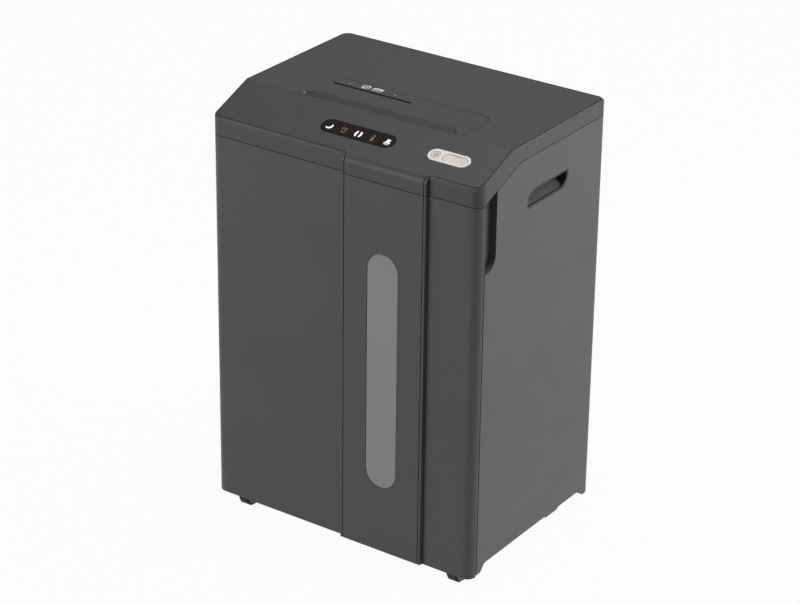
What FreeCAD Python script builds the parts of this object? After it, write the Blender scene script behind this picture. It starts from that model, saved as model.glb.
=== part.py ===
"""Free-standing office paper shredder with a pull-out bin, as a parametric document.

Frame: +Z up, front of the machine towards -Y, +X to the user's right.  The origin is on the floor
under the middle of the overall box.  All sizes are millimetres and live in the sheet "Sizes".
"""
import FreeCAD, Part
import Sketcher
import math
import os
import re

Vector = FreeCAD.Vector

# alias: (value, what it is)
SIZES = {
    # overall cabinet
    "width": (400, "cabinet width"),
    "depth": (290, "overall depth, raised strip included"),
    "height": (578, "floor to flat top"),
    "wall": (3, "moulded wall thickness"),
    "corner": (13, "plan radius of the four upright corners"),
    "seam": (0.9, "gap between the cover and what is under it"),
    "door_gap": (1.6, "gap behind the edge of the bin front"),
    "fit": (0.3, "gap between neighbouring pieces"),
    "edge_bevel": (2.2, "bevel round the cover's top edge"),
    "line_width": (1.3, "width of the shadow grooves"),
    "line_depth": (0.9, "depth of the shadow grooves"),
    "line_inset": (2.6, "cabinet's outline to the shadow groove in the roof"),
    "line_turn": (7, "radius at which that groove turns down beside the strip"),
    # raised strip down the front
    "strip_raise": (5, "how far the strip stands forward"),
    "strip_left": (2.7, "strip's foot, left side"),
    "strip_right": (127.8, "strip's foot, right side"),
    "strip_slant": (1, "sideways run of the strip's slanted edges"),
    "strip_border": (3, "strip's edge to the shadow groove in its face"),
    "strip_edge": (1.2, "rounding on the strip's own edges"),
    "nose_round": (10, "rounding of the cover's nose over the strip"),
    # cover levels
    "lip_height": (23, "height of the front lip over its seam"),
    "slope_drop": (28, "flat top down to the top of the front lip"),
    "slope_run": (71, "front to back length of the control slope"),
    "side_drop": (19.7, "flat top down to the side seam"),
    "seam_start": (7, "front face back to where the side seam climbs"),
    # door and side panels
    "door_bottom": (22, "underside of the bin front"),
    "door_return": (12.5, "depth of the bin front's side returns"),
    "door_floor": (38, "underside of the bin front's floor, above the castors"),
    "foot_level": (24, "underside of the corner feet"),
    "skirt_level": (33.7, "underside of the side panels between the feet"),
    "front_foot": (10.5, "length of the front foot"),
    "rear_foot": (18, "length of the rear foot"),
    "foot_slope": (8.5, "length of the slant beside a front foot"),
    "rear_foot_slope": (15, "length of the slant beside a rear foot"),
    "step_drop": (2.5, "depth of the pad in the side panel's lower edge"),
    "step_from": (36, "pad's front end"),
    "step_to": (66, "pad's rear end"),
    # finger recess behind the bin front, one each side
    "grip_length": (24.5, "front to back size of the finger recess"),
    "grip_drop": (141, "flat top down to the bottom of the finger recess"),
    "grip_depth": (9, "how deep fingers reach in"),
    "grip_round": (20, "rounding of the recess's lower rear corner"),
    # carry handle recess, one each side
    "handle_setback": (104, "front face back to the handle recess"),
    "handle_length": (92, "length of the handle recess"),
    "handle_drop": (87, "flat top down to the bottom of the handle recess"),
    "handle_height": (23, "height of the handle recess"),
    "handle_depth": (20, "depth of the handle recess"),
    "handle_round": (17, "large corner radius of the handle recess"),
    "handle_tip": (3, "small corner radius of the handle recess"),
    "handle_gap": (0.6, "gap between the side panel and the handle cup"),
    "handle_sill": (3, "depth of the handle recess at its lower edge"),
    "handle_deep": (6, "height of the deepest part of the handle recess"),
    # feed panel
    "panel_half": (125, "half width of the feed panel"),
    "panel_length": (74, "front to back length of the feed panel"),
    "panel_round": (20, "rear corner radius of the feed panel"),
    "panel_gap": (0.7, "line gap round the feed panel"),
    "panel_rim": (2, "rim between the slope and the paper groove"),
    "groove_half": (113, "half width of the paper groove at the top"),
    "groove_width": (17, "front to back size of the groove at the top"),
    "groove_cut": (10, "size of the groove's clipped rear corners"),
    "groove_depth": (6.5, "depth of the sloping part of the groove"),
    "slit_half": (110, "half width of the paper slit"),
    "slit_gap": (5.6, "front to back size of the paper slit"),
    "throat_depth": (18, "flat top down to the end of the paper slit"),
    "card_left": (-102.5, "left end of the card slot"),
    "card_length": (118, "length of the card slot"),
    "card_setback": (53.5, "slope's end back to the card slot's centre line"),
    "card_gap": (4.8, "front to back size of the card slot"),
    "card_rib": (1.5, "thickness of a guide rib in the card slot"),
    "card_rib_reach": (1.4, "how far a guide rib stands into the slot"),
    # controls on the slope
    "control_line": (34.7, "front face back to the controls' centre line"),
    "lens_length": (108, "status window length"),
    "lens_height": (23, "status window height"),
    "lens_thick": (2, "status window thickness"),
    "bezel_centre": (132.4, "button bezel, from the middle plane"),
    "bezel_length": (58.5, "button bezel length"),
    "bezel_height": (19.7, "button bezel height"),
    "bezel_proud": (0.8, "bezel above the slope"),
    "bezel_gap": (0.7, "gap round the button bezel"),
    "power_offset": (-19.2, "round button from the bezel's middle"),
    "power_radius": (5.6, "round button radius"),
    "rocker_offset": (8.6, "long key from the bezel's middle"),
    "rocker_length": (33.4, "long key length"),
    "rocker_height": (12.4, "long key height"),
    "key_gap": (0.6, "gap round a key"),
    "key_thick": (3.4, "thickness of a key's cap"),
    # bin window
    "window_centre": (65.5, "window's upright centre line"),
    "window_half": (22.5, "half width of the window"),
    "window_bottom": (114, "lowest point of the window"),
    "window_drop": (143.5, "flat top down to the highest point of the window"),
    "window_gap": (0.7, "gap round the window pane"),
    # bin
    "tub_inset": (20, "tub's side from the cabinet's outside"),
    "tub_front": (15.7, "front face back to the tub"),
    "tub_shortfall": (50, "how much shorter the tub is than the cabinet"),
    "tub_bottom": (61.5, "underside of the tub"),
    "tub_gap": (12, "rim of the tub below the head tray"),
    "tub_wall": (2.5, "tub wall thickness"),
    "rail_offset": (110, "rails' distance from the middle plane"),
    "rail_width": (14, "rail width"),
    "rail_shortfall": (40, "how much shorter the rails are than the cabinet"),
    # base and head tray
    "base_level": (37, "underside of the base plate"),
    "base_thick": (4, "base plate thickness"),
    "head_depth": (147, "flat top down to the underside of the head tray"),
    "tray_thick": (3, "head tray thickness"),
    "drop_half": (115, "half width of the opening for the clippings"),
    "drop_reach": (41, "reach of that opening before and behind the cutters' nip"),
    "screw_radius": (2, "screw thread radius"),
    "post_inset": (25, "cover posts from the cabinet's outside"),
    "post_radius": (6, "cover post radius"),
    "post_drop": (58, "flat top down to the top of the cover posts"),
    # castors
    "castor_inset": (35, "kingpins from the cabinet's sides"),
    "castor_setback": (33.5, "front face back to the front kingpins"),
    "castor_rear_inset": (35, "rear face to the rear kingpins"),
    "castor_trail": (8, "wheel axle in front of the kingpin"),
    "wheel_radius": (16, "castor wheel radius"),
    "wheel_width": (12, "castor wheel width"),
    "cheek_radius": (13.6, "radius of the fork's round cheeks"),
    "axle_radius": (2.5, "wheel axle radius"),
    "kingpin_radius": (4, "kingpin radius"),
    "socket_radius": (7, "outer radius of a kingpin socket"),
    "boss_height": (17, "height of the socket bosses over the base plate"),
    "running_fit": (0.06, "radial clearance of a running fit"),
    "pilot_room": (0.05, "radial room round a screw in its pilot hole"),
    "press_room": (0.02, "radial room of a pressed piece"),
    # cutter block
    "disc_margin": (7, "end of the disc stack to the chassis plate"),
    "plate_thick": (3, "chassis plate thickness"),
    "plate_setback": (36, "front face back to the chassis plates"),
    "left_plate_length": (118, "front to back length of the left chassis plate"),
    "right_plate_inset": (17, "rear face to the right chassis plate"),
    "plate_drop": (38, "flat top down to the top of the chassis plates"),
    "nip_setback": (95, "front face back to the nip between the cutter shafts"),
    "shaft_drop": (86, "flat top down to the cutter shafts"),
    "shaft_spacing": (36, "distance between the cutter shafts"),
    "journal_radius": (8, "cutter shaft journal radius"),
    "bush_radius": (11, "outer radius of a shaft bush"),
    "hex_flats": (20, "cutter shaft hexagon across flats"),
    "disc_radius": (20, "cutter disc radius"),
    "hub_radius": (13.2, "cutter disc hub radius"),
    "disc_thick": (3.4, "cutter disc thickness"),
    "disc_pitch": (8, "pitch of the discs along a shaft"),
    "disc_count": (28, "discs on each shaft"),
    "notch_depth": (2.4, "depth of the cross-cutting notches"),
    "rod_radius": (5, "tie rod radius"),
    # gear train: modules, widths and where each wheel starts outside the right plate
    "final_module": (1.5, "module of the last gear pair"),
    "middle_module": (1.25, "module of the middle gear pair"),
    "first_module": (1, "module of the motor pair"),
    "final_start": (2, "last gear pair, from the plate"),
    "final_width": (10, "last gear pair, width"),
    "middle_start": (14, "middle gear pair, from the plate"),
    "middle_width": (7, "middle gear pair, width"),
    "first_start": (23, "motor gear pair, from the plate"),
    "first_width": (6, "motor gear pair, width"),
    "sync_start": (4, "shaft-to-shaft pair, from the left plate"),
    "sync_width": (8, "shaft-to-shaft pair, width"),
    "stud_radius": (4, "idler stud radius"),
    "cover_plate_start": (31, "gear cover plate, from the chassis plate"),
    "backlash": (0.35, "tooth thickness removed at the pitch circle"),
    # motor
    "motor_radius": (36, "motor can radius"),
    "motor_length": (112, "motor can length"),
    "motor_wall": (2, "motor can wall"),
    "motor_shaft": (4, "motor shaft radius"),
    "stator_inner": (24, "bore radius of the stator"),
    "rotor_radius": (23.4, "rotor core radius"),
    "fan_radius": (30, "fan radius"),
    # mains inlet in the rear panel
    "inlet_x": (150, "inlet from the middle plane"),
    "inlet_drop": (98, "flat top down to the inlet"),
    "inlet_width": (27.5, "inlet body width"),
    "inlet_height": (20, "inlet body height"),
    "inlet_depth": (18, "inlet socket depth"),
}

# places that follow from the sizes; these words may be used in any expression below
DERIVED = {
    "lip_top": "(height-slope_drop)",
    "lip_seam": "(height-slope_drop-lip_height)",
    "grip_bottom": "(height-grip_drop)",
    "handle_front": "(strip_raise-depth/2+handle_setback)",
    "handle_bottom": "(height-handle_drop)",
    "panel_rear": "(strip_raise-depth/2+slope_run+panel_length)",
    "card_line": "(strip_raise-depth/2+slope_run+card_setback)",
    "window_top": "(height-window_drop)",
    "tub_half": "(width/2-tub_inset)",
    "tub_length": "(depth-tub_shortfall)",
    "tub_top": "(height-head_depth-tub_gap)",
    "rail_length": "(depth-rail_shortfall)",
    "tray_level": "(height-head_depth)",
    "drop_front": "(strip_raise-depth/2+nip_setback-drop_reach)",
    "drop_rear": "(strip_raise-depth/2+nip_setback+drop_reach)",
    "post_top": "(height-post_drop)",
    "castor_x": "(width/2-castor_inset)",
    "castor_front": "(strip_raise-depth/2+castor_setback)",
    "castor_rear": "(depth/2-castor_rear_inset)",
    "plate_half": "(disc_pitch*disc_count/2+disc_margin)",
    "plate_front": "(strip_raise-depth/2+plate_setback)",
    "left_plate_rear": "(strip_raise-depth/2+plate_setback+left_plate_length)",
    "right_plate_rear": "(depth/2-right_plate_inset)",
    "plate_top": "(height-plate_drop)",
    "nip_line": "(strip_raise-depth/2+nip_setback)",
    "shaft_level": "(height-shaft_drop)",
    "inlet_level": "(height-inlet_drop)",
}

GEAR_TEETH = {"sync": 18, "final": 48, "final_pinion": 14, "middle": 50, "middle_pinion": 14,
              "first": 56, "first_pinion": 12}
PRESSURE_ANGLE = math.radians(20)
# directions in the Y-Z plane from one gear centre to the next, degrees from +Y towards +Z
REAR_SHAFT_TO_IDLER_B = -18.8
IDLER_B_TO_IDLER_A = -18.2
IDLER_A_TO_MOTOR = 34.6

doc = FreeCAD.newDocument("paper_shredder")
sheet = doc.addObject("Spreadsheet::Sheet", "Sizes")
for row, (alias, (value, meaning)) in enumerate(SIZES.items(), start=1):
    sheet.set(f"A{row}", meaning)
    sheet.set(f"B{row}", str(value))
    sheet.setAlias(f"B{row}", alias)
doc.recompute()

# places worked out from the sheet, as expression text
HALF = "(width/2)"
FRONT = "(strip_raise-depth/2)"
BACK = "(depth/2)"
STRIP_FACE = "(-depth/2)"
CREASE = "(strip_raise-depth/2+slope_run)"
SLOPE = "((height-lip_top)/slope_run)"
SLANT = "sqrt(1+((height-lip_top)/slope_run)^2)"
DOOR_BACK = "(strip_raise-depth/2+door_return)"
SIDE_SEAM = "(height-side_drop)"
SEAM_START = "(strip_raise-depth/2+seam_start)"
SEAM_KINK = "(strip_raise-depth/2+seam_start+(height-side_drop-lip_seam)/((height-lip_top)/slope_run))"
CONTROL_Y = "(strip_raise-depth/2+control_line)"
CONTROL_Z = "(lip_top+control_line*(height-lip_top)/slope_run)"
TRAY_TOP = "(tray_level+tray_thick)"
BASE_TOP = "(base_level+base_thick)"
FRONT_SHAFT = "(nip_line-shaft_spacing/2)"
REAR_SHAFT = "(nip_line+shaft_spacing/2)"
PLATE_OUT = "(plate_half+plate_thick)"
LINE_LEFT = "(strip_left+strip_slant+strip_border)"
LINE_RIGHT = "(strip_right-strip_slant-strip_border)"

finished = []


def bound(text):
    """The expression with each derived place spelt out and each alias written as a cell of the sheet."""
    text = re.sub(r"[a-z_]+", lambda word: DERIVED.get(word[0], word[0]), str(text))
    return re.sub(r"[a-z_]+", lambda word: "Sizes." + word[0] if word[0] in SIZES else word[0], text)


def value(text):
    """The number an expression gives now."""
    result = sheet.evalExpression(bound(text))
    return float(getattr(result, "Value", result))


def bind(thing, **properties):
    """Bind properties to expressions; x, y and z stand for the placement's base."""
    for name, text in properties.items():
        path = {"x": "Placement.Base.x", "y": "Placement.Base.y", "z": "Placement.Base.z"}.get(name, name)
        thing.setExpression(path, bound(text))
    return thing


def finish(thing, label):
    """Give a sub-part its name and put it on the list to write."""
    thing.Label = label
    finished.append(thing)
    return thing


# ---------------------------------------------------------------- PartDesign helpers

def new_body(name):
    return doc.addObject("PartDesign::Body", name)


def origin_part(body, role):
    return next(feature for feature in body.Origin.OriginFeatures if feature.Role == role)


def sketch_on(body, role, offset):
    """A sketch on one of the body's origin planes, moved along the plane's normal."""
    sketch = body.newObject("Sketcher::SketchObject", body.Name + "_sketch")
    sketch.AttachmentSupport = [(origin_part(body, role), "")]
    sketch.MapMode = "FlatFace"
    sketch.setExpression("AttachmentOffset.Base.z", bound(offset))
    return sketch


def constrain(sketch, kind, text, *where):
    index = sketch.addConstraint(Sketcher.Constraint(kind, *where, value(text)))
    sketch.setExpression(f"Constraints[{index}]", bound(text))


def draw_polygon(sketch, points):
    """A closed outline of straight lines; every corner is placed by two expressions."""
    corners = [Vector(value(a), value(b), 0) for a, b in points]
    first = sketch.GeometryCount
    count = len(points)
    for i in range(count):
        sketch.addGeometry(Part.LineSegment(corners[i], corners[(i + 1) % count]))
    for i, (a, b) in enumerate(points):
        line = first + i
        sketch.addConstraint(Sketcher.Constraint("Coincident", line, 2, first + (i + 1) % count, 1))
        constrain(sketch, "DistanceX", a, -1, 1, line, 1)
        constrain(sketch, "DistanceY", b, -1, 1, line, 1)


def draw_circle(sketch, a, b, radius):
    index = sketch.addGeometry(Part.Circle(Vector(value(a), value(b), 0), Vector(0, 0, 1), value(radius)))
    constrain(sketch, "Radius", radius, index)
    constrain(sketch, "DistanceX", a, -1, 1, index, 3)
    constrain(sketch, "DistanceY", b, -1, 1, index, 3)


def add_pad(body, sketch, length, midplane=False, reverse=False):
    feature = body.newObject("PartDesign::Pad", body.Name + "_pad")
    feature.Profile = sketch
    feature.Midplane = midplane
    feature.Reversed = reverse
    bind(feature, Length=length)
    return feature


def dress(body, kind, radius, chosen):
    """Fillet or Chamfer the edges that chosen(edge) accepts."""
    doc.recompute()
    base = body.Tip
    names = [f"Edge{i}" for i, edge in enumerate(base.Shape.Edges, start=1) if chosen(edge)]
    if not names:
        raise RuntimeError(f"{body.Name}: no edge to dress")
    feature = body.newObject("PartDesign::" + kind, body.Name + "_" + kind.lower())
    feature.Base = (base, names)
    bind(feature, **{"Radius" if kind == "Fillet" else "Size": radius})
    doc.recompute()
    return feature


def edges_through(axis, corners):
    """Accept straight edges along an axis (0, 1, 2) that pass through any of the corners."""
    others = [i for i in range(3) if i != axis]
    places = [tuple(value(text) for text in corner) for corner in corners]

    def chosen(edge):
        ends = [vertex.Point for vertex in edge.Vertexes]
        if len(ends) != 2 or any(abs(ends[0][i] - ends[1][i]) > 1e-3 for i in others):
            return False
        return any(all(abs(ends[0][i] - place[k]) < 0.01 for k, i in enumerate(others)) for place in places)

    return chosen


def prism(name, role, points, start, length, rounds=(), midplane=False):
    """A padded outline. rounds lists (radius, corners), each corner a pair as in points."""
    body = new_body(name)
    sketch = sketch_on(body, role, start)
    draw_polygon(sketch, points)
    add_pad(body, sketch, length, midplane)
    axis = {"XY_Plane": 2, "XZ_Plane": 1, "YZ_Plane": 0}[role]
    for radius, corners in rounds:
        dress(body, "Fillet", radius, edges_through(axis, corners))
    return body


def obround(name, length, height, start, thick, centre="0"):
    """A flat pill in the XY plane, its long axis along X."""
    body = new_body(name)
    sketch = sketch_on(body, "XY_Plane", start)
    reach, radius = f"(({length})/2)", f"(({height})/2)"
    corners = [(f"{centre}-{reach}", f"-{radius}"), (f"{centre}+{reach}", f"-{radius}"),
               (f"{centre}+{reach}", radius), (f"{centre}-{reach}", radius)]
    draw_polygon(sketch, corners)
    add_pad(body, sketch, thick)
    # a hair under half the height, so that a flat of no length is left out
    dress(body, "Fillet", f"{radius}*0.999", edges_through(2, corners))
    return body


def on_slope(thing, x="0"):
    """Lay a piece drawn in the XY plane on the control slope."""
    thing.Placement = FreeCAD.Placement(Vector(), FreeCAD.Rotation(Vector(1, 0, 0), 20))
    thing.setExpression("Placement.Rotation.Angle", bound("atan((height-lip_top)/slope_run)"))
    return bind(thing, x=x, y=CONTROL_Y, z=CONTROL_Z)


# ---------------------------------------------------------------- Part helpers

def block(name, x, y, z, length, width, height):
    """A box from its lowest corner."""
    box = doc.addObject("Part::Box", name)
    return bind(box, x=x, y=y, z=z, Length=length, Width=width, Height=height)


def slab(name, x_from, x_to, y_from, y_to, z_from, z_to):
    """A box from its six faces."""
    return block(name, x_from, y_from, z_from, f"({x_to})-({x_from})", f"({y_to})-({y_from})",
                 f"({z_to})-({z_from})")


TURNS = {"X": FreeCAD.Rotation(Vector(0, 1, 0), 90), "Y": FreeCAD.Rotation(Vector(1, 0, 0), -90),
         "Z": FreeCAD.Rotation()}


def rod(name, axis, x, y, z, radius, length):
    """A cylinder that starts at a point and runs along +X, +Y or +Z."""
    cylinder = doc.addObject("Part::Cylinder", name)
    cylinder.Placement = FreeCAD.Placement(Vector(), TURNS[axis])
    return bind(cylinder, x=x, y=y, z=z, Radius=radius, Height=length)


def fuse(name, *pieces):
    joined = doc.addObject("Part::MultiFuse", name)
    joined.Shapes = list(pieces)
    joined.Refine = True
    return joined


def cut(name, base, *tools):
    tool = tools[0] if len(tools) == 1 else fuse(name + "_tools", *tools)
    result = doc.addObject("Part::Cut", name)
    result.Base = base
    result.Tool = tool
    result.Refine = True
    return result


def common(name, first, second):
    result = doc.addObject("Part::Common", name)
    result.Base = first
    result.Tool = second
    return result


def group(name, pieces):
    """Separate solids that make one node, such as a set of screws."""
    result = doc.addObject("Part::Compound", name)
    result.Links = list(pieces)
    return result


def mirrored(name, source):
    """The same piece on the other side of the middle plane."""
    result = doc.addObject("Part::Mirroring", name)
    result.Source = source
    result.Normal = Vector(1, 0, 0)
    return result


# ---------------------------------------------------------------- cabinet outline in plan

def rectangle_plan(inset, rear):
    return [(f"-{HALF}+{inset}", f"{FRONT}+{inset}"), (f"{HALF}-{inset}", f"{FRONT}+{inset}"),
            (f"{HALF}-{inset}", rear), (f"-{HALF}+{inset}", rear)]


def strip_plan(inset, rear):
    """The raised strip: slanted sides from the front face out to the strip's own face."""
    foot, face = f"{FRONT}+{inset}", f"{STRIP_FACE}+{inset}"
    return [(f"strip_left+{inset}", rear), (f"strip_left+{inset}", foot), (f"strip_left+strip_slant+{inset}", face),
            (f"strip_right-strip_slant-{inset}", face), (f"strip_right-{inset}", foot), (f"strip_right-{inset}", rear)]


def rounded_strip(name, rear, start, length):
    points = strip_plan("0", rear)
    return prism(name, "XY_Plane", points, start, length, rounds=[("strip_edge", points[2:4])])


def strip_lines(name, start, length):
    """Shadow grooves up the front: one inside each edge of the strip's face, one at each foot."""
    faces = [slab(name, left, f"{left}+line_width", f"{STRIP_FACE}-1", f"{STRIP_FACE}+line_depth", start,
                  f"{start}+{length}") for left in (LINE_LEFT, f"{LINE_RIGHT}-line_width")]
    feet = [slab(name, left, f"{left}+line_width/2", f"{FRONT}-1", f"{FRONT}+line_depth/2", start,
                 f"{start}+{length}") for left in ("strip_left-line_width/2", "strip_right")]
    return faces + feet


# ---------------------------------------------------------------- cover

def slope_height(y):
    return f"(height-({CREASE}-({y}))*{SLOPE})"


def make_cover():
    # the plan outline and the side profile are each padded, and the cover is what they share
    plan = rectangle_plan("0", BACK)
    outline = prism("cover_outline", "XY_Plane", plan, "lip_seam", "height-lip_seam",
                    rounds=[("corner", plan)])
    ahead = f"({FRONT}-10)"
    behind = f"({BACK}+10)"
    profile = prism("cover_profile", "YZ_Plane",
                    [(ahead, "lip_seam"), (SEAM_START, "lip_seam"), (SEAM_KINK, SIDE_SEAM), (behind, SIDE_SEAM),
                     (behind, "height"), (CREASE, "height"), (ahead, slope_height(ahead))],
                    "0", "width+20", midplane=True)
    outside = common("cover_outside", outline, profile)
    doc.recompute()

    # bevel the outer top edge: edges whose middle is on the roof and on the outline
    bevel = doc.addObject("Part::Chamfer", "cover_bevel")
    bevel.Base = outside
    size = value("edge_bevel")
    names = []
    for i, edge in enumerate(outside.Shape.Edges, start=1):
        spots = [edge.valueAt(edge.FirstParameter + k * (edge.LastParameter - edge.FirstParameter))
                 for k in (0.0, 0.3, 0.7, 1.0)]
        on_roof = all(abs(p.z - min(value("height"), value("height") - (value(CREASE) - p.y) * value(SLOPE))) < 0.01
                      for p in spots)
        is_crease = all(abs(p.y - value(CREASE)) < 0.01 for p in spots)
        if on_roof and not is_crease:
            names.append((i, size, size))
    bevel.Edges = names

    # the nose carries the raised strip over the lip with a soft edge instead of the bevel
    inside_y = f"({FRONT}+20)"
    nose_side = [(STRIP_FACE, "lip_seam"), (inside_y, "lip_seam"), (inside_y, slope_height(inside_y)),
                 (STRIP_FACE, slope_height(STRIP_FACE))]
    nose_bar = prism("nose_bar", "YZ_Plane", nose_side, "strip_left-5", "strip_right-strip_left+10",
                     rounds=[("nose_round", [nose_side[3]])])
    nose = common("nose", nose_bar, rounded_strip("nose_plan", inside_y, "lip_seam-5", "60"))

    # the shadow groove: a ring in plan that runs round the roof and down the strip, cut only as deep as
    # a core that lies the groove's depth under the roof, the nose and the strip's face
    ring_out = line_plan("line_inset", "0")
    ring_in = line_plan("line_inset+line_width", "line_width")
    tall = "height-lip_seam+10"
    ring = cut("line_ring",
               prism("line_outer", "XY_Plane", ring_out, "lip_seam-5", tall,
                     rounds=[("corner-line_inset", [ring_out[k] for k in (0, 1, 6, 7)]),
                             ("line_turn", [ring_out[k] for k in (2, 5)])]),
               prism("line_inner", "XY_Plane", ring_in, "lip_seam-6", f"{tall}+2",
                     rounds=[("corner-line_inset-line_width", [ring_in[k] for k in (0, 1, 6, 7)]),
                             ("line_turn+line_width", [ring_in[k] for k in (2, 5)])]))
    core_face = f"({STRIP_FACE}+line_depth)"
    core_side = [(core_face, "lip_seam-10"), (behind, "lip_seam-10"), (behind, "height-line_depth"),
                 (f"{CREASE}+line_depth*({SLANT}-1)/{SLOPE}", "height-line_depth"),
                 (core_face, f"{slope_height(core_face)}-line_depth*{SLANT}")]
    core = prism("line_core", "YZ_Plane", core_side, "0", "width+20", midplane=True,
                 rounds=[("nose_round-line_depth", [core_side[4]])])
    roof_line = cut("roof_line", ring, core)
    foot_lines = strip_lines("cover_strip_line", "lip_seam-1", "lip_height+2")[2:]

    inner_plan = rectangle_plan("wall", f"{BACK}-wall")
    inner_outline = prism("cover_inner_outline", "XY_Plane", inner_plan, "lip_seam-60", "height-lip_seam+60-wall",
                          rounds=[("corner-wall", inner_plan)])
    low = "lip_seam-70"
    inner_profile = prism("cover_inner_profile", "YZ_Plane",
                          [(ahead, low), (behind, low), (behind, "height-wall"),
                           (f"{CREASE}+wall*({SLANT}-1)/{SLOPE}", "height-wall"),
                           (ahead, f"{slope_height(ahead)}-wall*{SLANT}")],
                          "0", "width+20", midplane=True)
    inside = common("cover_inside", inner_outline, inner_profile)
    shell = cut("cover_shell", fuse("cover_solid", bevel, nose), inside)

    # bosses that take the cover screws
    bosses = [rod("cover_boss", "Z", x, y, "post_top+fit", "post_radius-1.5", f"{roof}-post_top-fit-2.6")
              for x, y, roof in cover_post_places()]
    solid = fuse("cover_with_bosses", shell, *bosses)

    opening = panel_outline("cover_opening", "0", "height-wall-5", "wall+10")
    lens_hole = on_slope(obround("lens_hole", "lens_length+2*fit", "lens_height+2*fit", "-wall-8", "wall+20"))
    bezel_hole = on_slope(obround("bezel_hole", "bezel_length+2*bezel_gap", "bezel_height+2*bezel_gap", "-wall-8", "wall+20"),
                          "bezel_centre")
    holes = [rod("boss_hole", "Z", x, y, "post_top-1", "screw_radius+pilot_room", "13") for x, y, _ in cover_post_places()]
    finish(cut("top_cover", solid, opening, lens_hole, bezel_hole, roof_line, *foot_lines, *holes), "top_cover")


def line_plan(inset, step):
    """Outline of the shadow groove: round the roof, and forward past the strip's face at the nose."""
    left, right = f"{LINE_LEFT}+{step}", f"{LINE_RIGHT}-{step}"
    front, ahead = f"{FRONT}+{inset}", f"{STRIP_FACE}-20-{step}"
    return [(f"-{HALF}+{inset}", f"{BACK}-({inset})"), (f"-{HALF}+{inset}", front), (left, front), (left, ahead),
            (right, ahead), (right, front), (f"{HALF}-({inset})", front), (f"{HALF}-({inset})", f"{BACK}-({inset})")]


def cover_post_places():
    side = f"({HALF}-post_inset)"
    front, rear = f"({FRONT}+wall+30)", f"({BACK}-post_inset)"
    return [(sign + side, y, roof) for sign in ("-", "")
            for y, roof in ((front, slope_height(front)), (rear, "height"))]


def panel_outline(name, inset, start, thick):
    """The feed panel's outline: square at the slope, rounded at the back."""
    points = [(f"-panel_half+{inset}", f"{CREASE}+{inset}"), (f"panel_half-{inset}", f"{CREASE}+{inset}"),
              (f"panel_half-{inset}", f"panel_rear-{inset}"), (f"-panel_half+{inset}", f"panel_rear-{inset}")]
    return prism(name, "XY_Plane", points, start, thick, rounds=[(f"panel_round-{inset}", points[2:])])


# ---------------------------------------------------------------- feed panel, chutes

SLIT_FRONT = f"({CREASE}+panel_rim+0.5)"
THROAT = "(height-throat_depth)"


def make_feed_panel():
    plate = panel_outline("panel_plate", "panel_gap", "height-wall", "wall")
    groove_front = f"({CREASE}+panel_rim)"
    groove_rear = f"({CREASE}+panel_rim+groove_width)"
    funnel = slab("panel_funnel", "-groove_half-3", "groove_half+3", f"{CREASE}+panel_gap", f"{groove_rear}+3",
                  THROAT, "height-wall/2")
    card_block = slab("card_block", "card_left-3", "card_left+card_length+3", "card_line-card_gap/2-2.5",
                      "card_line+card_gap/2+2.5", "height-12", "height-wall/2")

    # the groove narrows from a wide mouth to the slit
    groove = new_body("groove")
    mouth = sketch_on(groove, "XY_Plane", "height+0.01")
    draw_polygon(mouth, groove_section("groove_half", groove_front, groove_rear, "groove_cut"))
    slit_rear = f"({SLIT_FRONT}+slit_gap)"
    foot = sketch_on(groove, "XY_Plane", "height-groove_depth")
    draw_polygon(foot, groove_section("slit_half", SLIT_FRONT, slit_rear, "(slit_gap/3)"))
    loft = groove.newObject("PartDesign::AdditiveLoft", "groove_loft")
    loft.Profile = mouth
    loft.Sections = [foot]
    loft.Ruled = True
    slit = slab("slit", "-slit_half", "slit_half", SLIT_FRONT, slit_rear, f"{THROAT}-1", "height-groove_depth+0.5")

    card_slot = slab("card_slot", "card_left", "card_left+card_length", "card_line-card_gap/2",
                     "card_line+card_gap/2", "height-20", "height+1")
    ribs = [slab("card_rib", f"card_left+card_length*{k}/3-card_rib/2", f"card_left+card_length*{k}/3+card_rib/2",
                 "card_line+card_gap/2-card_rib_reach", "card_line+card_gap/2+1", "height-12", "height-0.4")
            for k in (1, 2)]
    body = cut("panel_cut", fuse("panel_solid", plate, funnel, card_block), groove, slit, card_slot)
    finish(fuse("feed_panel", body, *ribs), "feed_panel")


def groove_section(half, front, rear, clip):
    return [(f"-{half}", front), (half, front), (half, f"{rear}-{clip}"), (f"{half}-{clip}", rear),
            (f"-{half}+{clip}", rear), (f"-{half}", f"{rear}-{clip}")]


def sheet_strip(name, points, thick, left, right):
    """A bent sheet guide: a line in the Y-Z plane, given thickness towards +Y, padded along X."""
    back = [(f"{y}+{thick}", z) for y, z in reversed(points)]
    return prism(name, "YZ_Plane", points + back, left, f"({right})-({left})")


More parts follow.
